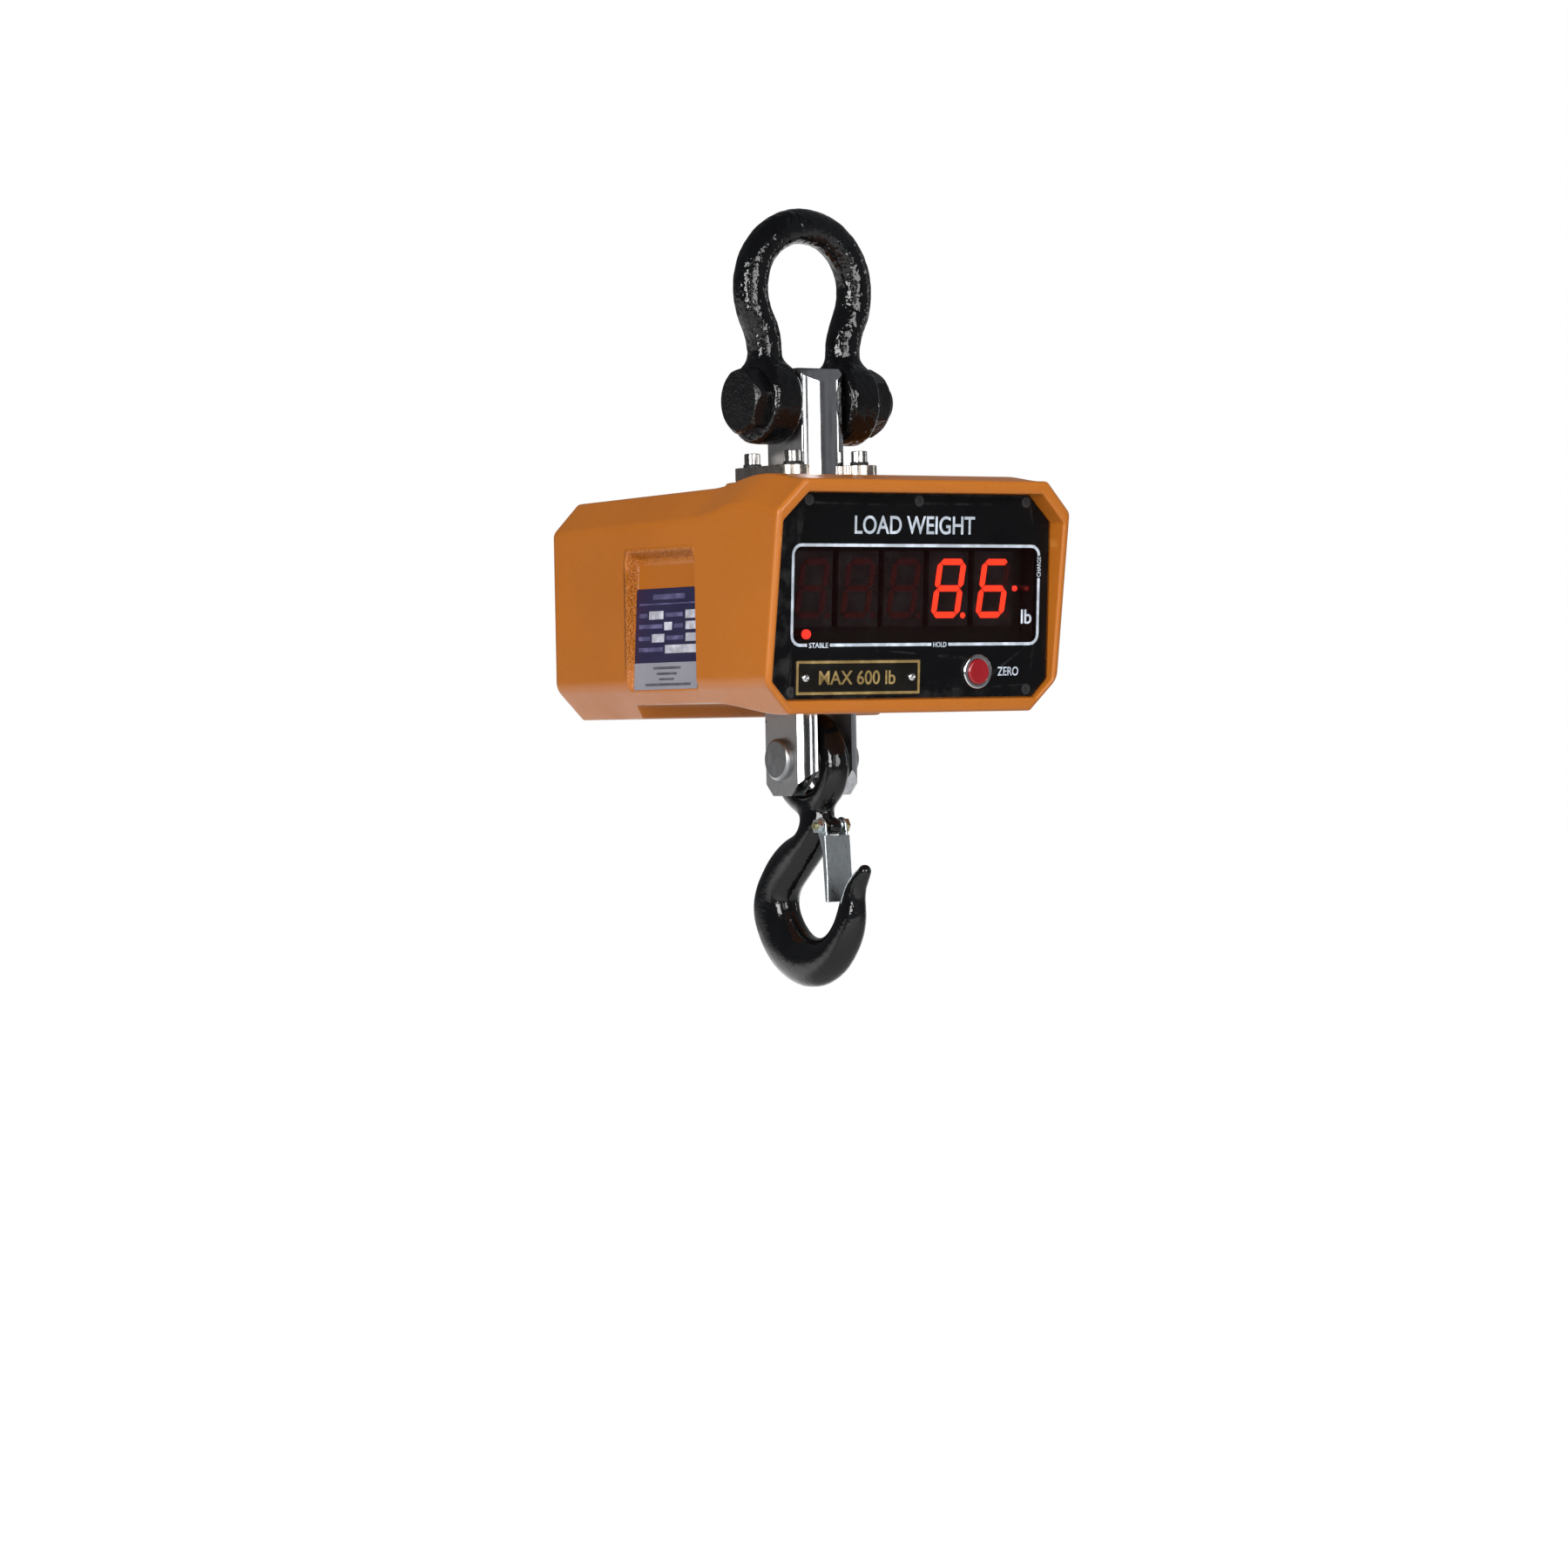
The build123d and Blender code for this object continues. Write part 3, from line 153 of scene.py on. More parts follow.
class Look(Nodes):
    """A procedural material, kept in LOOKS: a Principled shader and the nodes that feed it."""

    def __init__(self, name, **values):
        material = bpy.data.materials.new(name)
        material.use_nodes = True
        LOOKS[name] = material
        super().__init__(material.node_tree)
        self.shader = self.tree.nodes["Principled BSDF"]
        for key, value in values.items():
            socket(self.shader, key.replace("_", " "), value)
        self.place = self.add("ShaderNodeTexCoord")
        self.last_bump = None

    def noise(self, scale, detail=3.0, roughness=0.55, stretch=(1, 1, 1), shift=0.0):
        """Noise in the frame's coordinates, scale in cells per metre."""
        mapping = self.add("ShaderNodeMapping")
        mapping.inputs["Scale"].default_value = stretch
        mapping.inputs["Location"].default_value = (shift, shift, shift)
        self.link(self.place.outputs["Object"], mapping.inputs["Vector"])
        texture = self.add("ShaderNodeTexNoise")
        texture.inputs["Scale"].default_value = scale
        texture.inputs["Detail"].default_value = detail
        texture.inputs["Roughness"].default_value = roughness
        self.link(mapping.outputs["Vector"], texture.inputs["Vector"])
        return texture.outputs["Fac"]

    def cells(self, scale):
        """Distance to the nearest cell centre of a Voronoi texture."""
        texture = self.add("ShaderNodeTexVoronoi")
        texture.inputs["Scale"].default_value = scale
        self.link(self.place.outputs["Object"], texture.inputs["Vector"])
        return texture.outputs["Distance"]

    def blend(self, factor, first, second):
        """Mixes two colours; each is a colour or a node's output."""
        node = self.add("ShaderNodeMix", data_type="RGBA")
        self.link(factor, node.inputs["Factor"])
        for key, value in (("A", first), ("B", second)):
            target = next(s for s in node.inputs if s.name == key and s.type == "RGBA")
            if isinstance(value, tuple):
                target.default_value = (*value, 1.0)
            else:
                self.link(value, target)
        return next(s for s in node.outputs if s.type == "RGBA")

    def axis(self, name, kind="Object"):
        """One component of the frame position, or of the surface normal."""
        split = self.add("ShaderNodeSeparateXYZ")
        self.link(self.place.outputs[kind], split.inputs["Vector"])
        return split.outputs[name]

    def colour(self, output):
        self.link(output, self.shader.inputs["Base Color"])

    def rough(self, output):
        self.link(output, self.shader.inputs["Roughness"])

    def bump(self, height, distance, strength=1.0):
        """Adds a layer of relief, distance in metres."""
        node = self.add("ShaderNodeBump")
        node.inputs["Distance"].default_value = distance
        node.inputs["Strength"].default_value = strength
        self.link(height, node.inputs["Height"])
        if self.last_bump:
            self.link(self.last_bump, node.inputs["Normal"])
        self.last_bump = node.outputs["Normal"]
        self.link(self.last_bump, self.shader.inputs["Normal"])

    def edges(self, low, high):
        """Convex edges, for wear."""
        geometry = self.add("ShaderNodeNewGeometry")
        return self.spread(geometry.outputs["Pointiness"], low, high)


def orange_coat():
    """Semi-gloss orange powder coat over a casting, with rough cast pocket walls."""
    look = Look("orange_coat", Specular_IOR_Level=0.36)
    drift = look.spread(look.noise(9.0, 4.0), 0.3, 0.7)
    base = look.blend(drift, (0.385, 0.118, 0.0110), (0.340, 0.100, 0.0090))
    speck = look.spread(look.noise(420.0, 2.0), 0.62, 0.72, 0.0, 0.35)
    base = look.blend(speck, base, (0.26, 0.068, 0.007))
    wear = look.maths("MULTIPLY", look.edges(0.53, 0.62), look.spread(look.noise(60.0), 0.4, 0.7))
    look.colour(look.blend(wear, base, (0.48, 0.19, 0.036)))
    look.bump(look.noise(650.0, 2.0), 0.00004, 0.55)
    look.bump(look.noise(120.0, 3.0), 0.00012, 0.35)

    def band(axis, start, inner, outer, end):
        """1 from inner to outer, and 0 before start and after end."""
        place = look.axis(axis)
        return look.maths("MULTIPLY", look.spread(place, start, inner),
                          look.spread(place, end, outer))

    # The sand-rough walls of the side pockets: strongest at the rear, fainter along the top.
    front, rear = POCKET_FRONT * MM, POCKET_REAR * MM
    top, foot = BOLT_Z + POCKET_TOP * MM, BOLT_Z + POCKET_FOOT * MM
    rear_wall = look.maths(
        "MULTIPLY", band("Y", rear - 0.0035, rear - 0.0020, rear + 0.0005, rear + 0.0022),
        band("Z", foot + 0.0045, foot + 0.0195, top - 0.0120, top - 0.0020))
    top_wall = look.maths(
        "MULTIPLY", band("Z", top - 0.0075, top - 0.0050, top + 0.0005, top + 0.0022),
        band("Y", front - 0.0005, front + 0.0010, rear - 0.0005, rear + 0.0010))
    mask = look.maths("MAXIMUM", rear_wall, look.maths("MULTIPLY", top_wall, 0.45))
    shine = look.spread(look.noise(35.0, 5.0), 0.3, 0.7, 0.28, 0.42)
    look.rough(look.maths("SUBTRACT", shine, look.maths("MULTIPLY", mask, 0.17)))
    grit = look.noise(800.0, 1.5, 0.6)
    look.bump(look.maths("MULTIPLY", grit, mask), 0.0026, 1.0)


def thick_paint(name, lump, orange_peel, low_rough, high_rough):
    """Gloss black paint over a forging."""
    look = Look(name, Specular_IOR_Level=0.42)
    tone = look.spread(look.noise(30.0, 4.0), 0.35, 0.65)
    base = look.blend(tone, (0.0024, 0.0025, 0.0029), (0.0040, 0.0042, 0.0046))
    worn = look.maths("MULTIPLY", look.edges(0.56, 0.66), look.spread(look.noise(90.0), 0.52, 0.7))
    look.colour(look.blend(worn, base, (0.06, 0.055, 0.05)))
    look.rough(look.spread(look.noise(70.0, 4.0), 0.35, 0.65, low_rough, high_rough))
    look.bump(look.noise(270.0, 1.0, 0.5), lump, 1.0)
    look.bump(look.noise(620.0, 1.0), orange_peel, 1.0)


def polished_steel():
    """Turned and polished on the round faces, ground satin on the two flats."""
    look = Look("polished_steel", Metallic=1.0, Anisotropic=0.25)
    flat = look.spread(look.maths("ABSOLUTE", look.axis("X", "Normal")), 0.93, 0.985)
    grain = look.noise(160.0, 5.0, 0.65, stretch=(1.0, 14.0, 1.0))
    drawn = look.noise(330.0, 3.0, 0.6, stretch=(1.0, 1.0, 0.06))
    cloudy = look.maths("MULTIPLY", look.spread(look.noise(45.0, 5.0), 0.3, 0.7),
                        look.spread(drawn, 0.40, 0.60))
    round_tone = look.blend(cloudy, (0.68, 0.685, 0.70), (0.44, 0.445, 0.47))
    flat_tone = look.blend(look.spread(grain, 0.35, 0.65), (0.36, 0.36, 0.362), (0.44, 0.44, 0.442))
    tone = look.blend(flat, round_tone, flat_tone)
    nick = look.maths("MULTIPLY", look.spread(look.noise(130.0, 2.0, shift=3.0), 0.71, 0.75),
                      look.spread(look.noise(700.0, 2.0), 0.40, 0.50))
    look.colour(look.blend(nick, tone, (0.07, 0.07, 0.085)))
    shine = look.spread(look.noise(60.0, 4.0, 0.6, stretch=(1.0, 1.0, 0.25)), 0.35, 0.7, 0.07, 0.14)
    satin = look.spread(grain, 0.3, 0.7, 0.34, 0.46)
    rough = look.add("ShaderNodeMix", data_type="FLOAT")
    look.link(flat, rough.inputs["Factor"])
    look.link(shine, rough.inputs["A"])
    look.link(satin, rough.inputs["B"])
    look.rough(rough.outputs["Result"])
    look.bump(look.noise(38.0, 2.0, 0.4), 0.00006, 0.5)
    look.bump(grain, 0.000012, 0.4)


def satin_metal(name, bright, dark, low, high, stretch=(1, 1, 1), scale=300.0):
    """Bare or plated metal with a fine grain."""
    look = Look(name, Metallic=1.0)
    grain = look.noise(scale, 4.0, 0.6, stretch=stretch)
    tone = look.blend(look.spread(look.noise(55.0, 4.0), 0.3, 0.7), bright, dark)
    stain = look.spread(look.noise(170.0, 3.0, shift=5.0), 0.60, 0.80, 0.0, 0.08)
    look.colour(look.blend(stain, tone, tuple(0.55 * c for c in dark)))
    look.rough(look.spread(grain, 0.3, 0.7, low, high))
    look.bump(grain, 0.00002, 0.5)


def plain_solid(name, first, second, low, high, grain=900.0, depth=0.00003, **values):
    """Plastic, rubber, print or sheet with slight colour drift and a fine grain."""
    look = Look(name, **values)
    drift = look.spread(look.noise(40.0, 4.0), 0.3, 0.7)
    wear = look.maths("MULTIPLY", look.edges(0.54, 0.64), look.spread(look.noise(120.0), 0.45, 0.65))
    worn = tuple(min(1.0, 1.6 * c + 0.015) for c in first)
    look.colour(look.blend(wear, look.blend(drift, first, second), worn))
    look.rough(look.spread(look.noise(65.0, 4.0), 0.3, 0.7, low, high))
    look.bump(look.noise(grain, 2.0), depth, 0.5)


def circuit_board():
    """Green solder mask with faint tracks and pads."""
    look = Look("circuit_board", Coat_Weight=0.3, Coat_Roughness=0.2)
    tracks = look.spread(look.cells(260.0), 0.10, 0.16)
    green = look.blend(look.spread(look.noise(30.0), 0.3, 0.7),
                       (0.0060, 0.0125, 0.0080), (0.0045, 0.0090, 0.0060))
    look.colour(look.blend(tracks, (0.035, 0.036, 0.030), green))
    look.rough(look.spread(look.noise(90.0), 0.3, 0.7, 0.28, 0.42))
    look.bump(look.cells(260.0), 0.00004, 0.4)


def label_print():
    """Printed film: dark blue above a pale band, on the left pocket's floor."""
    look = Look("label_print", Coat_Weight=0.2, Coat_Roughness=0.25)
    low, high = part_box("rating_label")
    split_z = low.z + 0.265 * (high.z - low.z)
    upper = look.spread(look.axis("Z"), split_z - 0.00004, split_z + 0.00004)
    fade = look.spread(look.noise(28.0, 3.0), 0.3, 0.7)
    pale = look.blend(fade, (0.235, 0.232, 0.262), (0.205, 0.202, 0.232))
    blue = look.blend(fade, (0.0080, 0.0058, 0.034), (0.0110, 0.0080, 0.042))
    look.colour(look.blend(upper, pale, blue))
    look.rough(look.spread(look.noise(80.0), 0.3, 0.7, 0.36, 0.5))
    look.bump(look.noise(300.0, 3.0), 0.00003, 0.5)


def red_filter():
    """Dark red window, clear enough to see the digits through."""
    look = Look("red_filter", Alpha=0.32, IOR=1.49, Specular_IOR_Level=0.15)
    drift = look.spread(look.noise(14.0, 3.0), 0.3, 0.7)
    look.colour(look.blend(drift, (0.007, 0.0010, 0.0012), (0.010, 0.0014, 0.0016)))
    look.rough(look.spread(look.noise(160.0, 3.0), 0.3, 0.7, 0.16, 0.24))
    look.bump(look.noise(900.0, 2.0), 0.000008, 0.4)


def lamp(name, dull, glow=None, strength=0.0):
    """A display bar's lens, with a glow when it is lit and a slightly uneven surface."""
    look = Look(name)
    fade = look.spread(look.noise(260.0, 2.0), 0.3, 0.7)
    look.colour(look.blend(fade, dull, tuple(0.8 * c for c in dull)))
    look.rough(look.spread(look.noise(400.0), 0.3, 0.7, 0.3, 0.45))
    if glow:
        look.link(look.blend(fade, glow, tuple(0.92 * c for c in glow)),
                  look.shader.inputs["Emission Color"])
        socket(look.shader, "Emission Strength", strength)


def status_lens():
    """Red lamps on the display board: two glow at their front ends, the last one is dark."""
    look = Look("lamp_red")
    fade = look.spread(look.noise(300.0, 2.0), 0.3, 0.7)
    look.colour(look.blend(fade, (0.16, 0.008, 0.006), (0.12, 0.006, 0.005)))
    look.rough(look.spread(look.noise(400.0), 0.3, 0.7, 0.3, 0.45))
    rise = look.maths("SUBTRACT", look.axis("Z"), BOLT_Z + PANEL_Z * MM)
    ahead = look.maths("ADD", look.axis("Y"), look.maths("MULTIPLY", rise, math.tan(PANEL_TILT)))
    front = look.spread(ahead, (PANEL_Y + 7.1) * MM, (PANEL_Y + 7.6) * MM, 1.0, 0.0)
    dark_lamp = look.spread(look.axis("X"), 0.0760, 0.0768, 1.0, 0.04)
    share = look.maths("MULTIPLY", front, dark_lamp)
    look.link(look.blend(fade, (1.0, 0.035, 0.02), (0.9, 0.03, 0.02)),
              look.shader.inputs["Emission Color"])
    look.link(look.maths("MULTIPLY", share, 3.2), look.shader.inputs["Emission Strength"])


orange_coat()
thick_paint("shackle_paint", 0.0007, 0.00020, 0.045, 0.09)
thick_paint("hook_paint", 0.00016, 0.00007, 0.06, 0.12)
thick_paint("bolt_paint", 0.00025, 0.00030, 0.22, 0.34)
polished_steel()
satin_metal("stainless", (0.60, 0.54, 0.475), (0.44, 0.395, 0.345), 0.16, 0.30)
satin_metal("cap_screw", (0.62, 0.59, 0.56), (0.50, 0.47, 0.44), 0.08, 0.18, stretch=(3, 3, 0.3),
            scale=700.0)
satin_metal("pin_steel", (0.36, 0.365, 0.37), (0.27, 0.275, 0.28), 0.28, 0.40)
satin_metal("zinc", (0.58, 0.625, 0.645), (0.54, 0.585, 0.61), 0.26, 0.32, stretch=(2, 2, 0.6),
            scale=420.0)
satin_metal("yellow_zinc", (0.52, 0.47, 0.26), (0.36, 0.36, 0.20), 0.24, 0.40)
satin_metal("chrome", (0.74, 0.74, 0.75), (0.66, 0.66, 0.68), 0.05, 0.10)
satin_metal("cell_aluminium", (0.62, 0.63, 0.64), (0.52, 0.53, 0.55), 0.24, 0.38)
satin_metal("spacer_brass", (0.66, 0.48, 0.22), (0.52, 0.36, 0.15), 0.2, 0.32)
plain_solid("panel_black", (0.0022, 0.0022, 0.0027), (0.0032, 0.0032, 0.0037), 0.24, 0.32, 1100.0,
            0.00001, Specular_IOR_Level=0.13)
plain_solid("print_grey", (0.36, 0.40, 0.45), (0.31, 0.35, 0.40), 0.45, 0.6)
plain_solid("print_gold", (0.27, 0.185, 0.066), (0.22, 0.15, 0.050), 0.3, 0.45, Metallic=0.35)
plain_solid("plaque_black", (0.0042, 0.0036, 0.0026), (0.0060, 0.0050, 0.0036), 0.24, 0.34,
            Specular_IOR_Level=0.2)
plain_solid("button_red", (0.25, 0.006, 0.010), (0.19, 0.004, 0.008), 0.16, 0.26, Coat_Weight=0.5,
            Coat_Roughness=0.08)
plain_solid("rubber_black", (0.012, 0.012, 0.012), (0.018, 0.018, 0.018), 0.55, 0.72, 700.0,
            0.00006, Specular_IOR_Level=0.3)
plain_solid("black_plastic", (0.010, 0.010, 0.011), (0.015, 0.015, 0.016), 0.34, 0.5)
plain_solid("digit_module", (0.0022, 0.0012, 0.0012), (0.0032, 0.0018, 0.0018), 0.5, 0.65)
plain_solid("battery_case", (0.030, 0.031, 0.034), (0.045, 0.046, 0.050), 0.4, 0.55)
plain_solid("cover_coat", (0.011, 0.011, 0.012), (0.016, 0.016, 0.0175), 0.36, 0.48, 700.0, 0.00005)
plain_solid("label_white", (0.33, 0.33, 0.37), (0.30, 0.30, 0.34), 0.4, 0.5)
plain_solid("label_blue", (0.060, 0.056, 0.125), (0.048, 0.045, 0.105), 0.4, 0.5)
plain_solid("label_ink", (0.05, 0.045, 0.06), (0.08, 0.07, 0.09), 0.4, 0.5)
circuit_board()
label_print()
red_filter()
lamp("segment_lit", (0.5, 0.05, 0.02), (1.0, 0.034, 0.012), 3.0)
lamp("segment_off", (0.080, 0.008, 0.007))
status_lens()

# ---- mesh helpers ----


def coat(mesh, look):
    """Gives a mesh its one material."""
    mesh.materials.clear()
    mesh.materials.append(LOOKS[look])


def finish_piece(name, mesh, body, look, stands_for=(), angle=32.0):
    """Makes a mesh into a piece: shading, material, body and the nodes it stands for."""
    mesh.name = name
    coat(mesh, look)
    mesh.shade_smooth()
    mesh.set_sharp_from_angle(angle=math.radians(angle))
    piece = bpy.data.objects.new(name, mesh)
    bpy.context.scene.collection.objects.link(piece)
    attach(piece, body)
    if stands_for:
        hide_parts(*stands_for)
    return piece


def stand_in(node, suffix, mesh, look, angle=32.0):
    """Makes a mesh into the piece that replaces one CAD node, on its body."""
    body = frame["nodes"][node]["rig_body"]
    return finish_piece(node + suffix, mesh, body, look, (node,), angle)


def mesh_of(bm):
    """A mesh from bmesh data, with outward normals."""
    bmesh.ops.recalc_face_normals(bm, faces=bm.faces)
    mesh = bpy.data.meshes.new("mesh")
    bm.to_mesh(mesh)
    bm.free()
    return mesh


WELD = 1e-6
COPLANAR = math.radians(0.6)
SHARP = math.radians(28.0)


def cad_bmesh(node):
    """A CAD node's mesh, welded."""
    source = frame["nodes"][node].data.copy()
    for name in ("custom_normal", "sharp_face", "sharp_edge"):
        if name in source.attributes:
            source.attributes.remove(source.attributes[name])
    bm = bmesh.new()
    bm.from_mesh(source)
    bpy.data.meshes.remove(source)
    bmesh.ops.remove_doubles(bm, verts=bm.verts, dist=WELD)
    return bm


def refine(node, width, look, segments=2):
    """Replaces a CAD node by a copy with edges rounded to a width in millimetres."""
    bm = cad_bmesh(node)
    bmesh.ops.dissolve_limit(bm, angle_limit=COPLANAR, verts=bm.verts, edges=bm.edges,
                             delimit={"NORMAL"})
    sharp = [e for e in bm.edges if len(e.link_faces) == 2 and e.calc_face_angle(0.0) > SHARP]
    bmesh.ops.bevel(bm, geom=sharp, offset=width * MM, offset_type="OFFSET", segments=segments,
                    profile=0.5, clamp_overlap=True, affect="EDGES")
    piece = stand_in(node, "_detail", mesh_of(bm), look)
    weighted = piece.modifiers.new("flat_faces_stay_flat", "WEIGHTED_NORMAL")
    weighted.weight = 100
    weighted.keep_sharp = True


def evaluated_mesh(holder):
    """The mesh of an object after its modifiers; the object itself is removed."""
    bpy.context.scene.collection.objects.link(holder)
    evaluated = holder.evaluated_get(bpy.context.evaluated_depsgraph_get())
    mesh = bpy.data.meshes.new_from_object(evaluated)
    bpy.data.objects.remove(holder)
    return mesh


def remeshed(node, voxel):
    """A CAD node's shape as an even voxel mesh."""
    holder = bpy.data.objects.new("voxels", mesh_of(cad_bmesh(node)))
    modifier = holder.modifiers.new("voxels", "REMESH")
    modifier.mode = "VOXEL"
    modifier.voxel_size = voxel
    modifier.use_smooth_shade = True
    return evaluated_mesh(holder)


def per_vertex(mesh, name):
    """The vertices' coordinates or normals, one row each."""
    flat = np.zeros(len(mesh.vertices) * 3)
    mesh.vertices.foreach_get(name, flat)
    return flat.reshape(-1, 3)


def put_points(mesh, points):
    """Moves a mesh's vertices to new points."""
    mesh.vertices.foreach_set("co", points.ravel())
    mesh.update()


def relax(mesh, points, rounds, weight):
    """Laplacian smoothing of points over the mesh's edges, with a weight per point."""
    pairs = np.zeros(len(mesh.edges) * 2, dtype=np.int64)
    mesh.edges.foreach_get("vertices", pairs)
    pairs = pairs.reshape(-1, 2)
    count = len(points)
    degree = np.bincount(pairs.ravel(), minlength=count).astype(float)
    for _ in range(rounds):
        total = np.zeros_like(points)
        for axis in range(3):
            total[:, axis] += np.bincount(pairs[:, 0], points[pairs[:, 1], axis], count)
            total[:, axis] += np.bincount(pairs[:, 1], points[pairs[:, 0], axis], count)
        points = points + weight[:, None] * (total / degree[:, None] - points)
    return points


def forged(node, look, junction_z, reach, lumps):
    """A forging with a blended junction and an uneven skin, kept inside the CAD node's box.

    Each of the lumps is a size and a height in metres, and a seed.
    """
    mesh = remeshed(node, 0.9 * MM)
    points = per_vertex(mesh, "co")
    points = relax(mesh, points, 5, np.full(len(points), 0.5))
    points = relax(mesh, points, 60, 0.5 * np.exp(-((points[:, 2] - junction_z) / reach) ** 2))
    put_points(mesh, points)
    height = np.zeros(len(points))
    for size, amount, seed in lumps:
        for index, point in enumerate(points):
            height[index] += amount * noise.noise(Vector(point / size) + Vector((seed, 0, 0)))
    points = points + per_vertex(mesh, "normal") * height[:, None]
    low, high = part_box(node)
    put_points(mesh, np.clip(points, np.array(low), np.array(high)))
    stand_in(node, "_forged", mesh, look, angle=60.0)


# ---- shackle and hook ----

# The bow's legs flow into its ears, and the hook's eye flows into its neck and latch boss.
forged("shackle_bow", "shackle_paint", BOLT_Z + 0.0215, 0.0075,
       ((0.0080, 0.00022, 0.0), (0.0030, 0.00016, 7.0)))
forged("hook", "hook_paint", BOLT_Z - 0.2185, 0.0065,
       ((0.0140, 0.00020, 3.0), (0.0040, 0.00005, 9.0)))
refine("shackle_bolt", 0.9, "bolt_paint", 3)
refine("shackle_nut", 0.7, "bolt_paint", 3)
refine("roll_pin", 0.1, "zinc")
refine("latch_bolt", 0.3, "yellow_zinc")
refine("latch_nut", 0.3, "zinc")
refine("latch", 0.4, "zinc", 3)

# ---- load line hardware ----

refine("lifting_lug", 0.6, "polished_steel", 3)
refine("flange_halves", 0.5, "stainless", 3)
refine("flange_gasket", 0.2, "rubber_black")
refine("flange_washers", 0.4, "rubber_black", 3)
refine("flange_screws", 0.25, "cap_screw")
refine("fork", 0.7, "polished_steel", 3)
refine("fork_pin", 0.4, "pin_steel", 3)
refine("pin_washer", 0.3, "zinc")
refine("retaining_ring", 0.2, "pin_steel")
refine("floor_seal", 0.4, "rubber_black")

# ---- housing ----


def ease(t):
    """A cosine step from 0 to 1."""
    return (1 - math.cos(math.pi * min(max(t, 0.0), 1.0))) / 2


def smooth(t):
    """A cubic step from 0 to 1."""
    t = min(max(t, 0.0), 1.0)
    return t * t * (3 - 2 * t)


def top_at(y):
    """Height of the casting's top: a hump behind the lip, then a slight fall to the rear."""
    nose_y, hump_y, waist_y, rise, fall = -111.0, -72.0, -24.0, 4.2, 2.2
    if y < hump_y:
        return HUMP_Z - rise + rise * ease((y - nose_y) / (hump_y - nose_y))
    if y < waist_y:
        return HUMP_Z + (WAIST_Z - HUMP_Z) * ease((y - hump_y) / (waist_y - hump_y))
    return WAIST_Z - fall * (y - waist_y) / (REAR_Y - waist_y)


def bottom_at(y):
    """Height of the casting's underside: an arch across it, with a steep rear end."""
    start_y, full_y, step, step_run = -86.0, -31.0, 7.3, 7.0
    if y < ARCH_REAR_Y:
        return FRONT_FOOT_Z + (ARCH_Z - FRONT_FOOT_Z) * ease((y - start_y) / (full_y - start_y))
    return ARCH_Z - step * smooth((y - ARCH_REAR_Y) / step_run)


LINE_LOW, LINE_HIGH, UPPER_LOW = -140.0, -79.5, -79.0


def section_columns():
    """The right half of the casting's section, from the middle of the bottom to the top.

    Each column is a stretch of the section and a share of it, or a height on the side's line,
    where the columns are closer together at the top of the pocket.
    """
    columns = [("bottom", t / 9) for t in range(9)] + [("arc0", t / 4) for t in range(4)]
    columns += [("low", t) for t in (0, .1, .2, .3, .4, .5, .55, .6, .66, .74, .82, .91)]
    columns += [("arc1", t / 8) for t in range(8)] + [("lower", t / 3) for t in range(3)]
    columns += [("line", z) for z in range(-140, -84, 4)]
    columns += [("line", z) for z in (-84.0, -83.0, -82.2, -81.6, -81.0, -80.5, -80.0, -79.5)]
    columns += [("upper", t / 4) for t in range(4)] + [("arc2", t / 6) for t in range(6)]
    columns += [("high", t / 6) for t in range(6)] + [("arc3", t / 4) for t in range(4)]
    return columns + [("top", t / 9) for t in range(10)]


COLUMNS = section_columns()


def section_point(column, half, low, high, low_chamfer, high_chamfer, radii, spread_side=False):
    """Point and outward normal of one column of an eight-sided section with rounded corners.

    On the outside, the side's columns keep the pocket's heights; spread_side spaces them evenly.
    """
    kind, t = column
    cuts = [radius * math.tan(math.radians(22.5)) for radius in radii]
    d = math.sqrt(0.5)
    side_low, side_high = low + low_chamfer + cuts[1], high - high_chamfer - cuts[2]

    def arc(centre, start, radius):
        angle = math.radians(start + 45 * t)
        normal = (math.sin(angle), -math.cos(angle))
        return (centre[0] + radius * normal[0], centre[1] + radius * normal[1]), normal

    if kind == "bottom":
        return (t * (half - low_chamfer - cuts[0]), low), (0, -1)
    if kind == "arc0":
        return arc((half - low_chamfer - cuts[0], low + radii[0]), 0, radii[0])
    if kind == "low":
        start = (half - low_chamfer + cuts[0] * d, low + cuts[0] * d)
        run = low_chamfer - (cuts[0] + cuts[1]) * d
        return (start[0] + t * run, start[1] + t * run), (d, -d)
    if kind == "arc1":
        return arc((half - radii[1], side_low), 45, radii[1])
    if kind in ("lower", "line", "upper"):
        if spread_side:
            share = {"lower": 0.08 * t, "upper": 0.86 + 0.14 * t}.get(kind)
            if share is None:
                share = 0.08 + 0.78 * (t - LINE_LOW) / (LINE_HIGH - LINE_LOW)
            return (half, side_low + share * (side_high - side_low)), (1, 0)
        if kind == "lower":
            return (half, side_low + t * (LINE_LOW - side_low)), (1, 0)
        if kind == "upper":
            return (half, UPPER_LOW + t * (side_high - UPPER_LOW)), (1, 0)
        return (half, t), (1, 0)
    if kind == "arc2":
        return arc((half - radii[2], side_high), 90, radii[2])
    if kind == "high":
        start = (half - cuts[2] * d, high - high_chamfer + cuts[2] * d)
        run = high_chamfer - (cuts[2] + cuts[3]) * d
        return (start[0] - t * run, start[1] + t * run), (d, d)
    if kind == "arc3":
        return arc((half - high_chamfer - cuts[3], high - radii[3]), 135, radii[3])
    return ((1 - t) * (half - high_chamfer - cuts[3]), high), (0, 1)


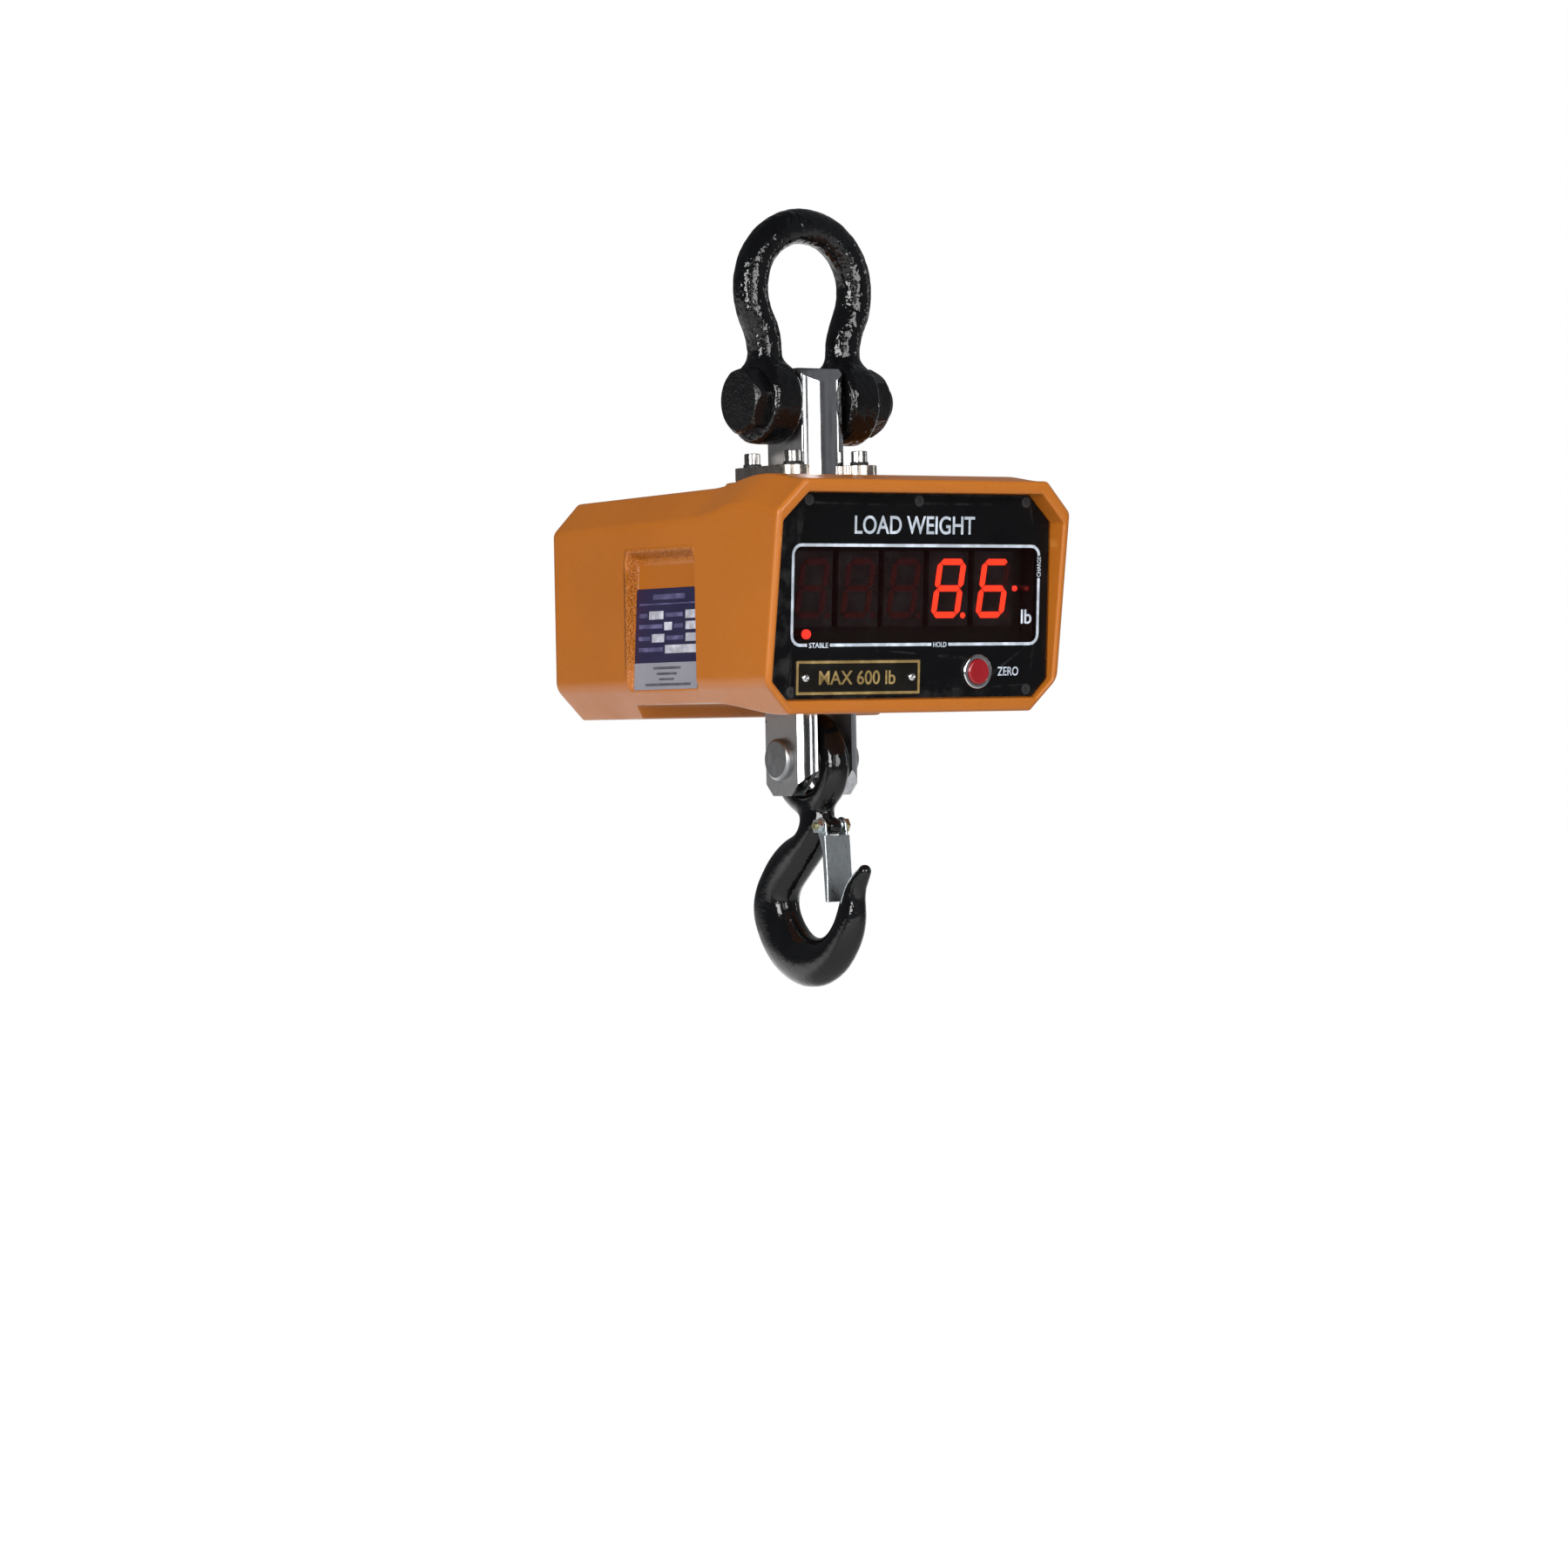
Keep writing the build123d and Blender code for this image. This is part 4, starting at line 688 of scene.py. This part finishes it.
def pocket_share(y, z):
    """How far a point on the side is into the pocket, 0 outside and 1 on its floor."""
    edge, corner, wall_run, top_slope = 0.5, 4.0, 2.4, 0.45
    inside_y = min(y - POCKET_FRONT, POCKET_REAR - y) + edge
    inside_z = (POCKET_TOP - z + edge) * top_slope
    if inside_y < corner and inside_z < corner:
        inside = corner - math.hypot(corner - inside_y, corner - inside_z)
    else:
        inside = min(inside_y, inside_z)
    return smooth(inside / wall_run)


def floor_x(z):
    """The pocket floor's distance from the middle plane; it leans, and runs out at the foot."""
    return HALF_WIDTH - DEPTH_FOOT - LEAN * (z - POCKET_FOOT)


def outer_row(y_row, inset):
    """A ring round the outside of the casting; near the front it leans with the lip."""
    ring = []
    fade = 1.0 - smooth((y_row - LIP_Y) / 45.0)
    for column in COLUMNS:
        y = y_row
        for _ in range(3):
            top, low = top_at(y), bottom_at(y)
            cut = CHAMFER - (low - FRONT_FOOT_Z)
            (x, z), normal = section_point(column, HALF_WIDTH, low, top, cut, CHAMFER,
                                           OUTER_RADII)
            y = y_row - fade * math.tan(LIP_TILT) * (z - LIP_Z)
        if z > POCKET_FOOT - 4 and column[0] in ("low", "arc1", "lower", "line", "upper"):
            x -= pocket_share(y, z) * max(0.0, x - floor_x(z))
        ring.append((x - inset * normal[0], y, z - inset * normal[1]))
    return ring


def panel_row(grow, w, size, chamfers, on_lip=False):
    """A ring round the front opening, w along the panel's normal or measured from the lip."""
    width, height = size
    ring = []
    for column in COLUMNS:
        (u, v), normal = section_point(column, width / 2, -height / 2, height / 2,
                                       chamfers[1], chamfers[0], (2.5,) * 4, True)
        u, v = u + grow * normal[0], v + grow * normal[1]
        ahead = w
        if on_lip:
            y0, z0 = PANEL_Y - v * math.sin(PANEL_TILT), PANEL_Z + v * math.cos(PANEL_TILT)
            gap = math.cos(LIP_TILT) * (y0 - LIP_Y) + math.sin(LIP_TILT) * (z0 - LIP_Z)
            ahead = gap / math.cos(LIP_TILT - PANEL_TILT) + w
        y = PANEL_Y - v * math.sin(PANEL_TILT) - ahead * math.cos(PANEL_TILT)
        z = PANEL_Z + v * math.cos(PANEL_TILT) - ahead * math.sin(PANEL_TILT)
        ring.append((u, y, z))
    return ring


def rear_row(grow, y, size, chamfer):
    """A ring round the rear opening."""
    ring = []
    for column in COLUMNS:
        (x, z), normal = section_point(column, size[0] / 2, REAR_Z - size[1] / 2,
                                       REAR_Z + size[1] / 2, chamfer, chamfer, (2.0,) * 4, True)
        ring.append((x + grow * normal[0], y, z + grow * normal[1]))
    return ring


def cavity_row(y):
    """A ring round the casting's inside, clear of the pockets' floors."""
    ring = []
    for column in COLUMNS:
        (x, z), _ = section_point(column, HALF_WIDTH - 10.5, bottom_at(y) + WALL, top_at(y) - WALL,
                                  12.0, 12.0, (1.0,) * 4, True)
        ring.append((x, y, z))
    return ring


def rounding(radius, steps):
    """Pairs (ahead, inset) round a quarter circle, from the outer wall to the end face."""
    turns = [math.radians(90 * k / steps) for k in range(steps + 1)]
    return [(radius * (1 - math.sin(t)), radius * (1 - math.cos(t))) for t in turns]


def housing_rings():
    """All rings of the casting, in order; the last joins the first."""
    rings = [panel_row(0, w, PANEL_HOLE, PANEL_HOLE_CUTS) for w in (-7.0, -2.5)]
    rings += [panel_row(0, w, OPENING, OPENING_CUTS) for w in (-2.5, -2.0)]
    rings += [panel_row(0, w, OPENING, OPENING_CUTS, True) for w in (-5.0, -3.2, -1.6)]
    rings += [panel_row(inset, -ahead, OPENING, OPENING_CUTS, True)
              for ahead, inset in rounding(1.3, 4)]
    rings += [outer_row(LIP_Y + ahead, inset) for ahead, inset in reversed(rounding(2.4, 5))]
    # Rows are closer together at the pocket's two ends and at the arch's rear end.
    rows = [-98.0, -95.5, -93.0] + list(range(-90, -34, 3))
    rows += [-32.6, -32.0, -31.5, -31.1, -30.7, -30.3, -29.9, -29.5, -29.1, -28.5, -27.0]
    rows += list(range(-24, 31, 3)) + [31.0, 31.6, 32.1, 32.5, 32.9, 33.3, 33.7, 34.1, 34.5, 35.0]
    rows += [37.0, 39.0, 40.4, 41.6, 42.8, 44.0, 45.2, 46.4, 49.0] + list(range(53, 102, 6))
    rings += [outer_row(y, 0.0) for y in rows]
    rings += [outer_row(REAR_Y - ahead, inset) for ahead, inset in rounding(2.2, 5)]
    rings += [rear_row(inset, REAR_Y - ahead, REAR_OPENING, REAR_CUT)
              for ahead, inset in reversed(rounding(1.0, 3))]
    rings += [rear_row(0, REAR_Y - 4.5, REAR_OPENING, REAR_CUT)]
    rings += [rear_row(0, REAR_Y - depth, REAR_HOLE, REAR_HOLE_CUT) for depth in (4.5, 8.5)]
    rings += [cavity_row(y) for y in (92.0, 70.0, 50.0, 44.0, 36.0, 10.0, -20.0, -50.0, -78.0)]
    return rings


def cast_skin(point):
    """Slow unevenness of a casting, only ever inwards."""
    size, depth = 38, 0.10
    wave = noise.noise(Vector((point[0] / size, point[1] / size, point[2] / size)))
    return depth * (0.5 + 0.5 * wave)


def add_grid(bm, rings, closed_rows):
    """Faces between rings of points in millimetres; the columns always close."""
    made = [[bm.verts.new(Vector(p) * MM) for p in ring] for ring in rings]
    count = len(rings[0])
    last = len(made) if closed_rows else len(made) - 1
    for i in range(last):
        this, following = made[i], made[(i + 1) % len(made)]
        for j in range(count):
            k = (j + 1) % count
            bm.faces.new((this[j], this[k], following[k], following[j]))
    return made


def cap(bm, ring, peak):
    """Closes a ring with a fan to one point."""
    centre = bm.verts.new(Vector(peak) * MM)
    for j, vert in enumerate(ring):
        bm.faces.new((vert, ring[(j + 1) % len(ring)], centre))


def rounded_outline(half_x, half_y, corner, steps=6):
    """Outline of a rounded rectangle, counter-clockwise."""
    points = []
    for sx, sy, start in ((1, 1, 0), (-1, 1, 90), (-1, -1, 180), (1, -1, 270)):
        for k in range(steps + 1):
            a = math.radians(start + 90 * k / steps)
            points.append((sx * (half_x - corner) + corner * math.cos(a),
                           sy * (half_y - corner) + corner * math.sin(a)))
    return points


def build_housing():
    """The casting, with both halves of each ring, and the flange's boss on top of it."""
    bm = bmesh.new()
    z0 = BOLT_Z / MM
    whole = []
    for ring in housing_rings():
        left = [(-x, y, z) for x, y, z in reversed(ring[1:-1])]
        full = []
        for x, y, z in ring + left:
            shrink = cast_skin((x, y, z))
            full.append((x - math.copysign(shrink, x) * min(1, abs(x) / 20), y, z + z0))
        whole.append(full)
    add_grid(bm, whole, True)
    rings = []
    for inset, z in BOSS_PROFILE:
        outline = rounded_outline(BOSS_HALF[0] - inset, BOSS_HALF[1] - inset, BOSS_CORNER)
        rings.append([(x, y, z + z0) for x, y in outline])
    made = add_grid(bm, rings, False)
    for ring, (_, z) in ((made[0], BOSS_PROFILE[0]), (made[-1], BOSS_PROFILE[-1])):
        cap(bm, ring, (0, 0, z + z0))
    finish_piece("housing_casting", mesh_of(bm), "scale", "orange_coat",
                 ("housing",), angle=40.0)


build_housing()

# ---- front panel and its print ----

PRINT_THICK = 0.08


def panel_matrix(u=0.0, v=0.0, w=0.0, turn=0.0):
    """Places local x, y, z at a spot on the front panel, in millimetres, z out of the panel."""
    up = Vector((0, -math.sin(PANEL_TILT), math.cos(PANEL_TILT)))
    out = Vector((0, -math.cos(PANEL_TILT), -math.sin(PANEL_TILT)))
    spot = Vector((0, PANEL_Y, PANEL_Z)) * MM + Vector((0, 0, BOLT_Z))
    spot += (Vector((u, 0, 0)) + up * v + out * w) * MM
    basis = Matrix((Vector((1, 0, 0)), up, out)).transposed().to_4x4()
    return Matrix.Translation(spot) @ basis @ Matrix.Rotation(turn, 4, "Z")


def slab(bm, outline, low, high, round_top=0.0):
    """A flat plate from an outline in millimetres, with a small slope round its top."""
    count = len(outline)
    centre = Vector((sum(p[0] for p in outline) / count, sum(p[1] for p in outline) / count))
    rings = [[(x, y, low) for x, y in outline]]
    if round_top:
        rings.append([(x, y, high - round_top) for x, y in outline])
    lid = []
    for x, y in outline:
        away = Vector((x, y)) - centre
        lid.append((*(centre + away * (1 - round_top / max(away.length, 1e-6))), high))
    rings.append(lid)
    made = add_grid(bm, rings, False)
    bm.faces.new(made[-1])
    bm.faces.new(reversed(made[0]))


def ribbon(bm, path):
    """A printed line along a path, in millimetres."""
    width, thick = 1.6, 0.09
    sides = []
    for i, point in enumerate(path):
        before, after = path[max(i - 1, 0)], path[min(i + 1, len(path) - 1)]
        along = (Vector(after) - Vector(before)).normalized()
        across = Vector((-along.y, along.x)) * width / 2
        sides.append((Vector(point) + across, Vector(point) - across))
    rings = [[(*a, 0.0), (*b, 0.0), (*b, thick), (*a, thick)] for a, b in sides]
    made = add_grid(bm, rings, False)
    bm.faces.new(reversed(made[0]))
    bm.faces.new(made[-1])


def place(name, bm, matrix, slot, look):
    """Makes local mesh data into a piece of the scale's body."""
    bmesh.ops.transform(bm, matrix=matrix, verts=bm.verts)
    finish_piece(name, mesh_of(bm), "scale", look)


def words(name, text, width, height, matrix, look):
    """Raised lettering of a given size in millimetres, in Blender's own plain font."""
    curve = bpy.data.curves.new(name, "FONT")
    curve.body = text
    curve.size = 1.0
    curve.offset = 0.012
    curve.extrude = 0.02
    curve.resolution_u = 6
    mesh = evaluated_mesh(bpy.data.objects.new(name, curve))
    points = per_vertex(mesh, "co")
    low, high = points.min(0), points.max(0)
    size = np.array((width, height, PRINT_THICK))
    points = (points - (low + high) / 2) / (high - low) * size * MM
    points[:, 2] += PRINT_THICK / 2 * MM
    put_points(mesh, points)
    mesh.transform(matrix)
    finish_piece(name, mesh, "scale", look)


def corner_arc(centre, radius, start, stop):
    """Points round part of a circle, between two angles in degrees."""
    steps = 5
    turns = [math.radians(start + (stop - start) * k / steps) for k in range(steps + 1)]
    return [(centre[0] + radius * math.cos(t), centre[1] + radius * math.sin(t)) for t in turns]


def display_print():
    """The line round the window, broken where its words stand."""
    left, right, low, high, radius = -76.7, 83.2, -25.5, 26.3, 5.2
    corners = [corner_arc(centre, radius, start, start - 90) for centre, start in (
        ((left + radius, low + radius), 270), ((left + radius, high - radius), 180),
        ((right - radius, high - radius), 90), ((right - radius, low + radius), 0))]
    bm = bmesh.new()
    ribbon(bm, [(-67.0, low)] + corners[0] + corners[1] + corners[2] + [(right, 21.6)])
    ribbon(bm, [(right, 9.4)] + corners[3] + [(24.2, low)])
    ribbon(bm, [(13.0, low), (-52.4, low)])
    place("print_frame_line", bm, panel_matrix(), "panel_black", "print_grey")
    for name, text, width, height, u, v, turn in (
            ("print_title", "LOAD WEIGHT", 78.0, 9.6, 1.0, 37.0, 0.0),
            ("print_stable", "STABLE", 12.2, 2.7, -59.6, -25.6, 0.0),
            ("print_hold", "HOLD", 8.6, 2.7, 18.6, -25.6, 0.0),
            ("print_charge", "CHARGE", 10.6, 2.5, 83.3, 15.4, math.pi / 2),
            ("print_zero", "ZERO", 13.8, 4.7, 64.0, -40.0, 0.0)):
        words(name, text, width, height, panel_matrix(u, v, 0.0, turn), "print_grey")
    window_step = -0.19
    words("print_unit", "lb", 7.0, 7.6, panel_matrix(75.6, -11.1, window_step),
          "print_grey")


def painted_shade_shroud():
    """Black sheet between the panel and the display board, all round the window: painted shade for
    the housing's inside seen through the window.
    """
    bm = bmesh.new()
    outer, inner = rounded_outline(81.2, 27.4, 2.0, 3), rounded_outline(79.8, 26.0, 1.0, 3)
    ring_plate(bm, outer, inner, -13.6, -2.6)
    # Painted shade: this black sheet darkens the inside of the housing where it shows through the
    # window.
    place("painted_shade_shroud", bm, panel_matrix(3.0, 0.4), "digit_module", "digit_module")


# Each bar's ends, in half widths and half heights of the digit.
SEGMENTS = {"a": ((-1, 1), (1, 1)), "b": ((1, 1), (1, 0)), "c": ((1, 0), (1, -1)),
            "d": ((-1, -1), (1, -1)), "e": ((-1, 0), (-1, -1)), "f": ((-1, 1), (-1, 0)),
            "g": ((-1, 0), (1, 0))}
GLYPH_WIDTH, GLYPH_HEIGHT, STROKE = 18.6, 31.3, 3.3
SLANT = math.tan(math.radians(8.4))


def segment_outline(ends):
    """A six-sided bar between two corners of the digit, with pointed ends."""
    gap = 0.35
    reach = Vector(((GLYPH_WIDTH - STROKE) / 2, (GLYPH_HEIGHT - STROKE) / 2))
    start, end = (Vector((x * reach.x, y * reach.y)) for x, y in ends)
    along = (end - start).normalized()
    across = Vector((-along.y, along.x)) * STROKE / 2
    start, end = start + along * gap, end - along * gap
    shoulder = along * STROKE / 2
    points = [start, start + shoulder + across, end - shoulder + across, end,
              end - shoulder - across, start + shoulder - across]
    return [(p.x + p.y * SLANT, p.y) for p in points]


def digits():
    """Seven bars on each digit module: the last two show a number, the others are dark."""
    shown = {4: "abcdefg.", 5: "acdefg"}
    buried, proud, slope, dot_radius, middle_v = -7.1, -6.0, 0.35, 1.6, 3.7
    dot = [(GLYPH_WIDTH / 2 + 0.4 + dot_radius * math.cos(math.radians(a)),
            -GLYPH_HEIGHT / 2 + 1.4 + dot_radius * math.sin(math.radians(a)))
           for a in range(0, 360, 20)]
    bars = {letter: segment_outline(ends) for letter, ends in SEGMENTS.items()} | {".": dot}
    for number in range(1, 6):
        matrix = panel_matrix(middle(f"led_digit_{number}").x / MM, middle_v)
        for state, look in (("lit", "segment_lit"), ("dark", "segment_off")):
            outlines = [outline for letter, outline in bars.items()
                        if (letter in shown.get(number, "")) == (state == "lit")]
            if not outlines:
                continue
            bm = bmesh.new()
            for outline in outlines:
                slab(bm, outline, buried, proud, slope)
            place(f"digit_{number}_{state}", bm, matrix, "digit_module", look)


def ring_plate(bm, outer, inner, low, high):
    """A flat frame between two outlines with the same number of points."""
    rings = [[(x, y, low) for x, y in inner], [(x, y, low) for x, y in outer],
             [(x, y, high) for x, y in outer], [(x, y, high) for x, y in inner]]
    add_grid(bm, rings, True)


def plaque_print():
    """A gold border and a plain capacity marking on the plaque."""
    u, v, thick = -34.3, -42.4, 0.8
    bm = bmesh.new()
    ring_plate(bm, rounded_outline(39.6, 8.8, 0.6, 2), rounded_outline(38.2, 7.4, 0.4, 2),
               thick, thick + PRINT_THICK)
    place("plaque_border", bm, panel_matrix(u, v), "plaque_black", "print_gold")
    words("plaque_words", "MAX 600 lb", 49.0, 7.4, panel_matrix(u - 0.7, v, thick),
          "print_gold")


def label_fields():
    """Blank fields and lines of unreadable print on the rating label."""
    half_z, film, below_middle, behind_middle = 26.8, 0.3, 9.5, 1.5
    out = Vector((-1, 0, LEAN)).normalized()
    up = Vector((LEAN, 0, 1)).normalized()
    floor_middle = Vector((-floor_x((POCKET_TOP + POCKET_FOOT) / 2), behind_middle,
                           (POCKET_TOP + POCKET_FOOT) / 2))
    spot = Vector((0, 0, BOLT_Z)) + (floor_middle + out * film - up * below_middle) * MM
    basis = Matrix((Vector((0, -1, 0)), up, out)).transposed().to_4x4()
    face = Matrix.Translation(spot) @ basis

    def bars(name, look, rows):
        """Flat bars: left and right ends, and depths of the lower and upper edge below the top."""
        bm = bmesh.new()
        for x0, x1, deep, shallow in rows:
            z0, z1 = half_z - deep, half_z - shallow
            slab(bm, [(x0, z0), (x1, z0), (x1, z1), (x0, z1)], -0.05, 0.05)
        place(name, bm, face, "label_print", look)

    bars("label_fields", "label_white", (
        (-17.5, -3.8, 16.4, 12.0), (17.0, 29.0, 16.4, 12.0), (-2.8, 4.6, 22.3, 18.0),
        (17.4, 29.0, 22.3, 18.0), (-14.2, -2.4, 28.6, 24.2), (17.8, 29.0, 28.6, 24.2),
        (-1.4, 29.0, 34.6, 30.2)))
    bars("label_captions", "label_blue", (
        (-27.0, -19.0, 15.3, 13.1), (-2.0, 14.5, 15.3, 13.1), (-27.0, -4.4, 21.2, 19.0),
        (6.4, 15.0, 21.2, 19.0), (-27.0, -16.0, 27.5, 25.3), (-0.6, 15.6, 27.5, 25.3),
        (-26.6, -3.4, 33.5, 31.3), (-27.0, 26.0, 8.6, 7.9), (-14.0, 16.0, 5.9, 3.1)))
    bars("label_lines", "label_ink", (
        (-12.0, 14.0, 43.0, 41.6), (-8.5, 10.5, 46.0, 44.7), (-6.0, 8.0, 48.8, 47.7),
        (-19.0, 24.0, 51.8, 50.4)))


display_print()
# The black sheet behind the window is painted shade for the housing's inside.
painted_shade_shroud()
digits()
plaque_print()
label_fields()

# ---- smaller pieces ----

for node, width, look in (
        ("front_panel", 0.2, "panel_black"), ("display_window", 0.2, "red_filter"),
        ("panel_screws", 0.2, "black_plastic"), ("capacity_plaque", 0.15, "plaque_black"),
        ("plaque_screws", 0.1, "chrome"), ("button_bezel", 0.3, "chrome"),
        ("button_cap", 0.5, "button_red"), ("button_nut", 0.3, "zinc"),
        ("status_lamps", 0.2, "lamp_red"), ("display_board", 0.1, "circuit_board"),
        ("board_spacers", 0.2, "spacer_brass"), ("main_board", 0.2, "circuit_board"),
        ("load_cell", 0.6, "cell_aluminium"), ("rear_gasket", 0.2, "rubber_black"),
        ("rear_cover", 0.3, "cover_coat"), ("rear_cover_screws", 0.2, "stainless"),
        ("charge_socket", 0.3, "black_plastic"), ("charge_socket_nut", 0.2, "zinc"),
        ("power_switch", 0.4, "black_plastic"), ("power_rocker", 0.6, "black_plastic"),
        ("battery", 0.8, "battery_case"), ("battery_tray", 0.3, "zinc")):
    refine(node, width, look)

for node, look in [("rating_label", "label_print"), ("latch_spring", "zinc")] + [
        (f"led_digit_{n}", "digit_module") for n in range(1, 6)]:
    coat(frame["nodes"][node].data, look)

# ---- stage, light and camera ----


def pale_floor():
    """Matt floor far below: evenly pale to the camera, and bright behind the scale in mirrors."""
    look = Look("floor", Roughness=0.9)
    look.colour(look.blend(look.spread(look.noise(0.6), 0.3, 0.7),
                           (0.62, 0.62, 0.62), (0.58, 0.58, 0.58)))
    socket(look.shader, "Emission Color", (1.0, 1.0, 1.0))
    ray = look.add("ShaderNodeLightPath")
    near_back = look.maths("MULTIPLY", look.spread(look.axis("Y"), 0.45, 0.95),
                           look.spread(look.axis("Y"), 5.0, 2.2, 0.24, 1.0))
    seen = look.maths("MULTIPLY", ray.outputs["Is Camera Ray"], 0.92)
    shown = look.maths("MULTIPLY", ray.outputs["Is Glossy Ray"], near_back)
    look.link(look.maths("MAXIMUM", seen, shown), look.shader.inputs["Emission Strength"])
    reach, height = 14.0, -0.95
    bm = bmesh.new()
    for x, y in ((-1, -1), (1, -1), (1, 1), (-1, 1)):
        bm.verts.new((x * reach, y * reach, height))
    bm.faces.new(bm.verts)
    floor = bpy.data.objects.new("floor", mesh_of(bm))
    floor.data.materials.append(LOOKS["floor"])
    bpy.context.scene.collection.objects.link(floor)


pale_floor()


def softbox(name, bearing, distance, height, size, power, mirrored=True):
    """A soft area light that faces the scale's middle; bearing is degrees from -Y towards +X."""
    data = bpy.data.lights.new(name, "AREA")
    data.shape = "RECTANGLE"
    data.size, data.size_y = size
    data.energy = power
    light = bpy.data.objects.new(name, data)
    turn = math.radians(bearing)
    light.location = (distance * math.sin(turn), -distance * math.cos(turn), height)
    aim = Vector((0, 0, -0.2)) - Vector(light.location)
    light.rotation_euler = aim.to_track_quat("-Z", "Y").to_euler()
    light.visible_glossy = mirrored
    bpy.context.scene.collection.objects.link(light)


softbox("front_box", -5.0, 2.2, 0.22, (1.08, 1.3), 34.0)
softbox("front_fill", -22.0, 2.3, 0.22, (0.28, 1.3), 3.4)
softbox("left_box", -66.0, 2.4, 0.22, (0.85, 1.3), 53.0)
softbox("left_strip", -35.0, 2.4, 0.22, (0.12, 1.3), 2.4)
softbox("right_strip", 77.0, 2.6, 0.2, (0.16, 1.2), 3.2)
softbox("top_box", -20.0, 0.6, 1.9, (1.6, 1.6), 15.0, False)
softbox("back_box", 150.0, 2.4, 0.6, (1.4, 1.4), 34.0, False)


def studio_world():
    """White to the camera, faint all round as light, and graded in mirrors like a dim room."""
    world = bpy.data.worlds.new("studio")
    bpy.context.scene.world = world
    world.use_nodes = True
    sky = Nodes(world.node_tree)
    sky.tree.nodes.clear()
    direction = sky.add("ShaderNodeSeparateXYZ")
    sky.link(sky.add("ShaderNodeTexCoord").outputs["Generated"], direction.inputs["Vector"])
    behind = sky.maths("MULTIPLY", sky.spread(direction.outputs["Y"], 0.1, 0.7),
                       sky.spread(direction.outputs["Z"], 0.04, -0.05, 0.05, 0.24))
    aside = sky.spread(direction.outputs["X"], 0.25, 0.50, 0.0, 0.13)
    mirrored = sky.maths("ADD", sky.maths("ADD", behind, aside), 0.035)
    rays = sky.add("ShaderNodeLightPath")
    soft = sky.maths("MULTIPLY", rays.outputs["Is Diffuse Ray"], 0.27)
    ambient = sky.add("ShaderNodeBackground")
    socket(ambient, "Color", (0.93, 0.95, 1.0))
    sky.link(sky.maths("MAXIMUM", mirrored, soft), ambient.inputs["Strength"])
    backdrop = sky.add("ShaderNodeBackground")
    socket(backdrop, "Color", (1.0, 1.0, 1.0))
    either = sky.add("ShaderNodeMixShader")
    sky.link(rays.outputs["Is Camera Ray"], either.inputs["Fac"])
    sky.link(ambient.outputs["Background"], either.inputs[1])
    sky.link(backdrop.outputs["Background"], either.inputs[2])
    sky.link(either.outputs["Shader"], sky.add("ShaderNodeOutputWorld").inputs["Surface"])


studio_world()
bpy.context.scene.view_settings.view_transform = "Standard"


def long_lens():
    """The camera: 35 degrees to the left of the front, almost level and slightly rolled."""
    data = bpy.data.cameras.new("camera")
    data.lens = 122.0
    data.sensor_width = 36.0
    data.dof.use_dof = False
    data.clip_end = 60.0
    camera = bpy.data.objects.new("camera", data)
    bpy.context.scene.collection.objects.link(camera)
    bpy.context.scene.camera = camera
    camera.location = (-1.6529, -2.3344, BOLT_Z - 0.1794)
    pitch, bearing, roll = math.radians(-0.517), math.radians(35.0), math.radians(-1.1)
    sight = Vector((math.sin(bearing) * math.cos(pitch), math.cos(bearing) * math.cos(pitch),
                    math.sin(pitch)))
    aim = sight.to_track_quat("-Z", "Y").to_matrix() @ Matrix.Rotation(roll, 3, "Z")
    camera.rotation_euler = aim.to_euler()


long_lens()
